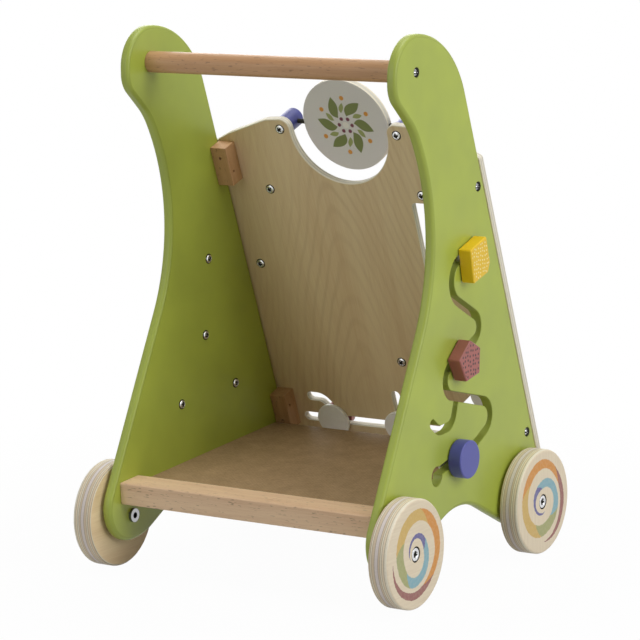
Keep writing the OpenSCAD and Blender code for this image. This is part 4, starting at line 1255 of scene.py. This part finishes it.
class WALKER_OT_fasteners(bpy.types.Operator):
    """Sunk and raised screws with cross recesses and hub bolts, painted shade in their recesses and round their rims, a
    steel finish on nuts and washers with painted shade in the nuts' sockets and round their rims, and near-black
    painted shade on the pins
    """

    bl_idname = "walker.fasteners"
    bl_label = "Fasteners"

    # Kinds of head: outline in millimetres, radius from which it takes the painted shade, and the recess's kind, width
    # and depth
    SUNK = [[3.98, -2.4], [3.98, -0.05], [2.8, -1.5], [2.6, -1.5], [2.5, -1.3]], 0.0026, "cross", 0.0036, 0.0009
    RAISED = ([[4.3, -1.8], [4.3, -1.45], [4.1, -1.3], [3.6, -1.4], [3.5, -1.5], [3.35, -0.7], [3.0, -0.4]],
              0.00345, "cross", 0.0046, 0.0009)
    BOLT = [[5.5, -3.2], [5.5, -0.5], [5.35, -0.15], [5.0, -0.02]], 0.0052, "hexagon", 0.0056, 0.002
    # For each CAD node the ways its heads face, the way up on them, the shafts' radius and the kind of head
    SIDES = (X_AXIS, -X_AXIS)
    SCREWS = {
        "handle_screws": (SIDES, Z_AXIS, 0.0017, SUNK),
        "block_side_screws": (SIDES, Z_AXIS, 0.0017, SUNK),
        "rail_screws": (SIDES, Z_AXIS, 0.0017, SUNK),
        "block_front_screws": ((BOARD_OUT,), BOARD_UP, 0.0017, SUNK),
        "spinner_post_screws": ((-BOARD_OUT,), BOARD_UP, 0.0017, RAISED),
        "bead_post_screws": ((-BOARD_OUT,), BOARD_UP, 0.0017, RAISED),
        "gear_screws": ((X_AXIS,), Z_AXIS, 0.002, RAISED),
        "wheel_bolts": (SIDES, Z_AXIS, 0.0025, BOLT),
    }

    def execute(self, context):
        _, c = settings(context)
        steel, dark = bright_steel(c), dark_steel("dark_steel")
        for node, (axes, up, shaft, head) in self.SCREWS.items():
            # Faces in each recess and outside each head's rim take the near-black painted shade
            shape, group = driven(node, axes, up, shaft, *head)
            piece("driven_" + node, shape, [steel, dark], "frame", [node], group)
        axle = seat("wheel_rear_right", X_AXIS, Z_AXIS)[0]
        dress("wheel_barrel_nuts", zinc_steel("nut_steel", c.steel, 0.7, 0.82, axle))
        dress("wheel_washers", steel)
        # The spinner pins are coloured near-black as painted shade
        dress("spinner_pins", dark)
        return {"FINISHED"}


OPERATORS = (WALKER_OT_stage, WALKER_OT_side_panels, WALKER_OT_handle, WALKER_OT_activity_board,
             WALKER_OT_corner_blocks, WALKER_OT_tray, WALKER_OT_wheels, WALKER_OT_flip_disc, WALKER_OT_slot_sliders,
             WALKER_OT_board_sliders, WALKER_OT_play_gears, WALKER_OT_bead_rails, WALKER_OT_fasteners)


class WALKER_PT_finish(bpy.types.Panel):
    """Lists the walker's pieces and what may be changed on them"""

    bl_idname = "WALKER_PT_finish"
    bl_label = "Push walker"
    bl_space_type = "VIEW_3D"
    bl_region_type = "UI"
    bl_category = "Walker"

    def draw(self, context):
        for op in OPERATORS:
            self.layout.operator(op.bl_idname)
        for group in (*settings(context), context.scene.walker_stage):
            box = self.layout.box()
            for key in group.__annotations__:
                box.prop(group, key)


GROUPS = {"walker_sizes": WalkerSizes, "walker_colours": WalkerColours, "walker_stage": WalkerStage}


def register():
    for cls in (*GROUPS.values(), *OPERATORS, WALKER_PT_finish):
        bpy.utils.register_class(cls)
    for name, cls in GROUPS.items():
        setattr(bpy.types.Scene, name, PointerProperty(type=cls))


def unregister():
    for name in GROUPS:
        delattr(bpy.types.Scene, name)
    for cls in (WALKER_PT_finish, *reversed(OPERATORS), *GROUPS.values()):
        bpy.utils.unregister_class(cls)


def main():
    register()
    bpy.ops.walker.stage()
    bpy.ops.walker.side_panels()
    bpy.ops.walker.handle()
    bpy.ops.walker.activity_board()
    bpy.ops.walker.corner_blocks()
    bpy.ops.walker.tray()
    bpy.ops.walker.wheels()
    bpy.ops.walker.flip_disc()
    bpy.ops.walker.slot_sliders()
    bpy.ops.walker.board_sliders()
    bpy.ops.walker.play_gears()
    bpy.ops.walker.bead_rails()
    bpy.ops.walker.fasteners()


if __name__ == "__main__":
    main()
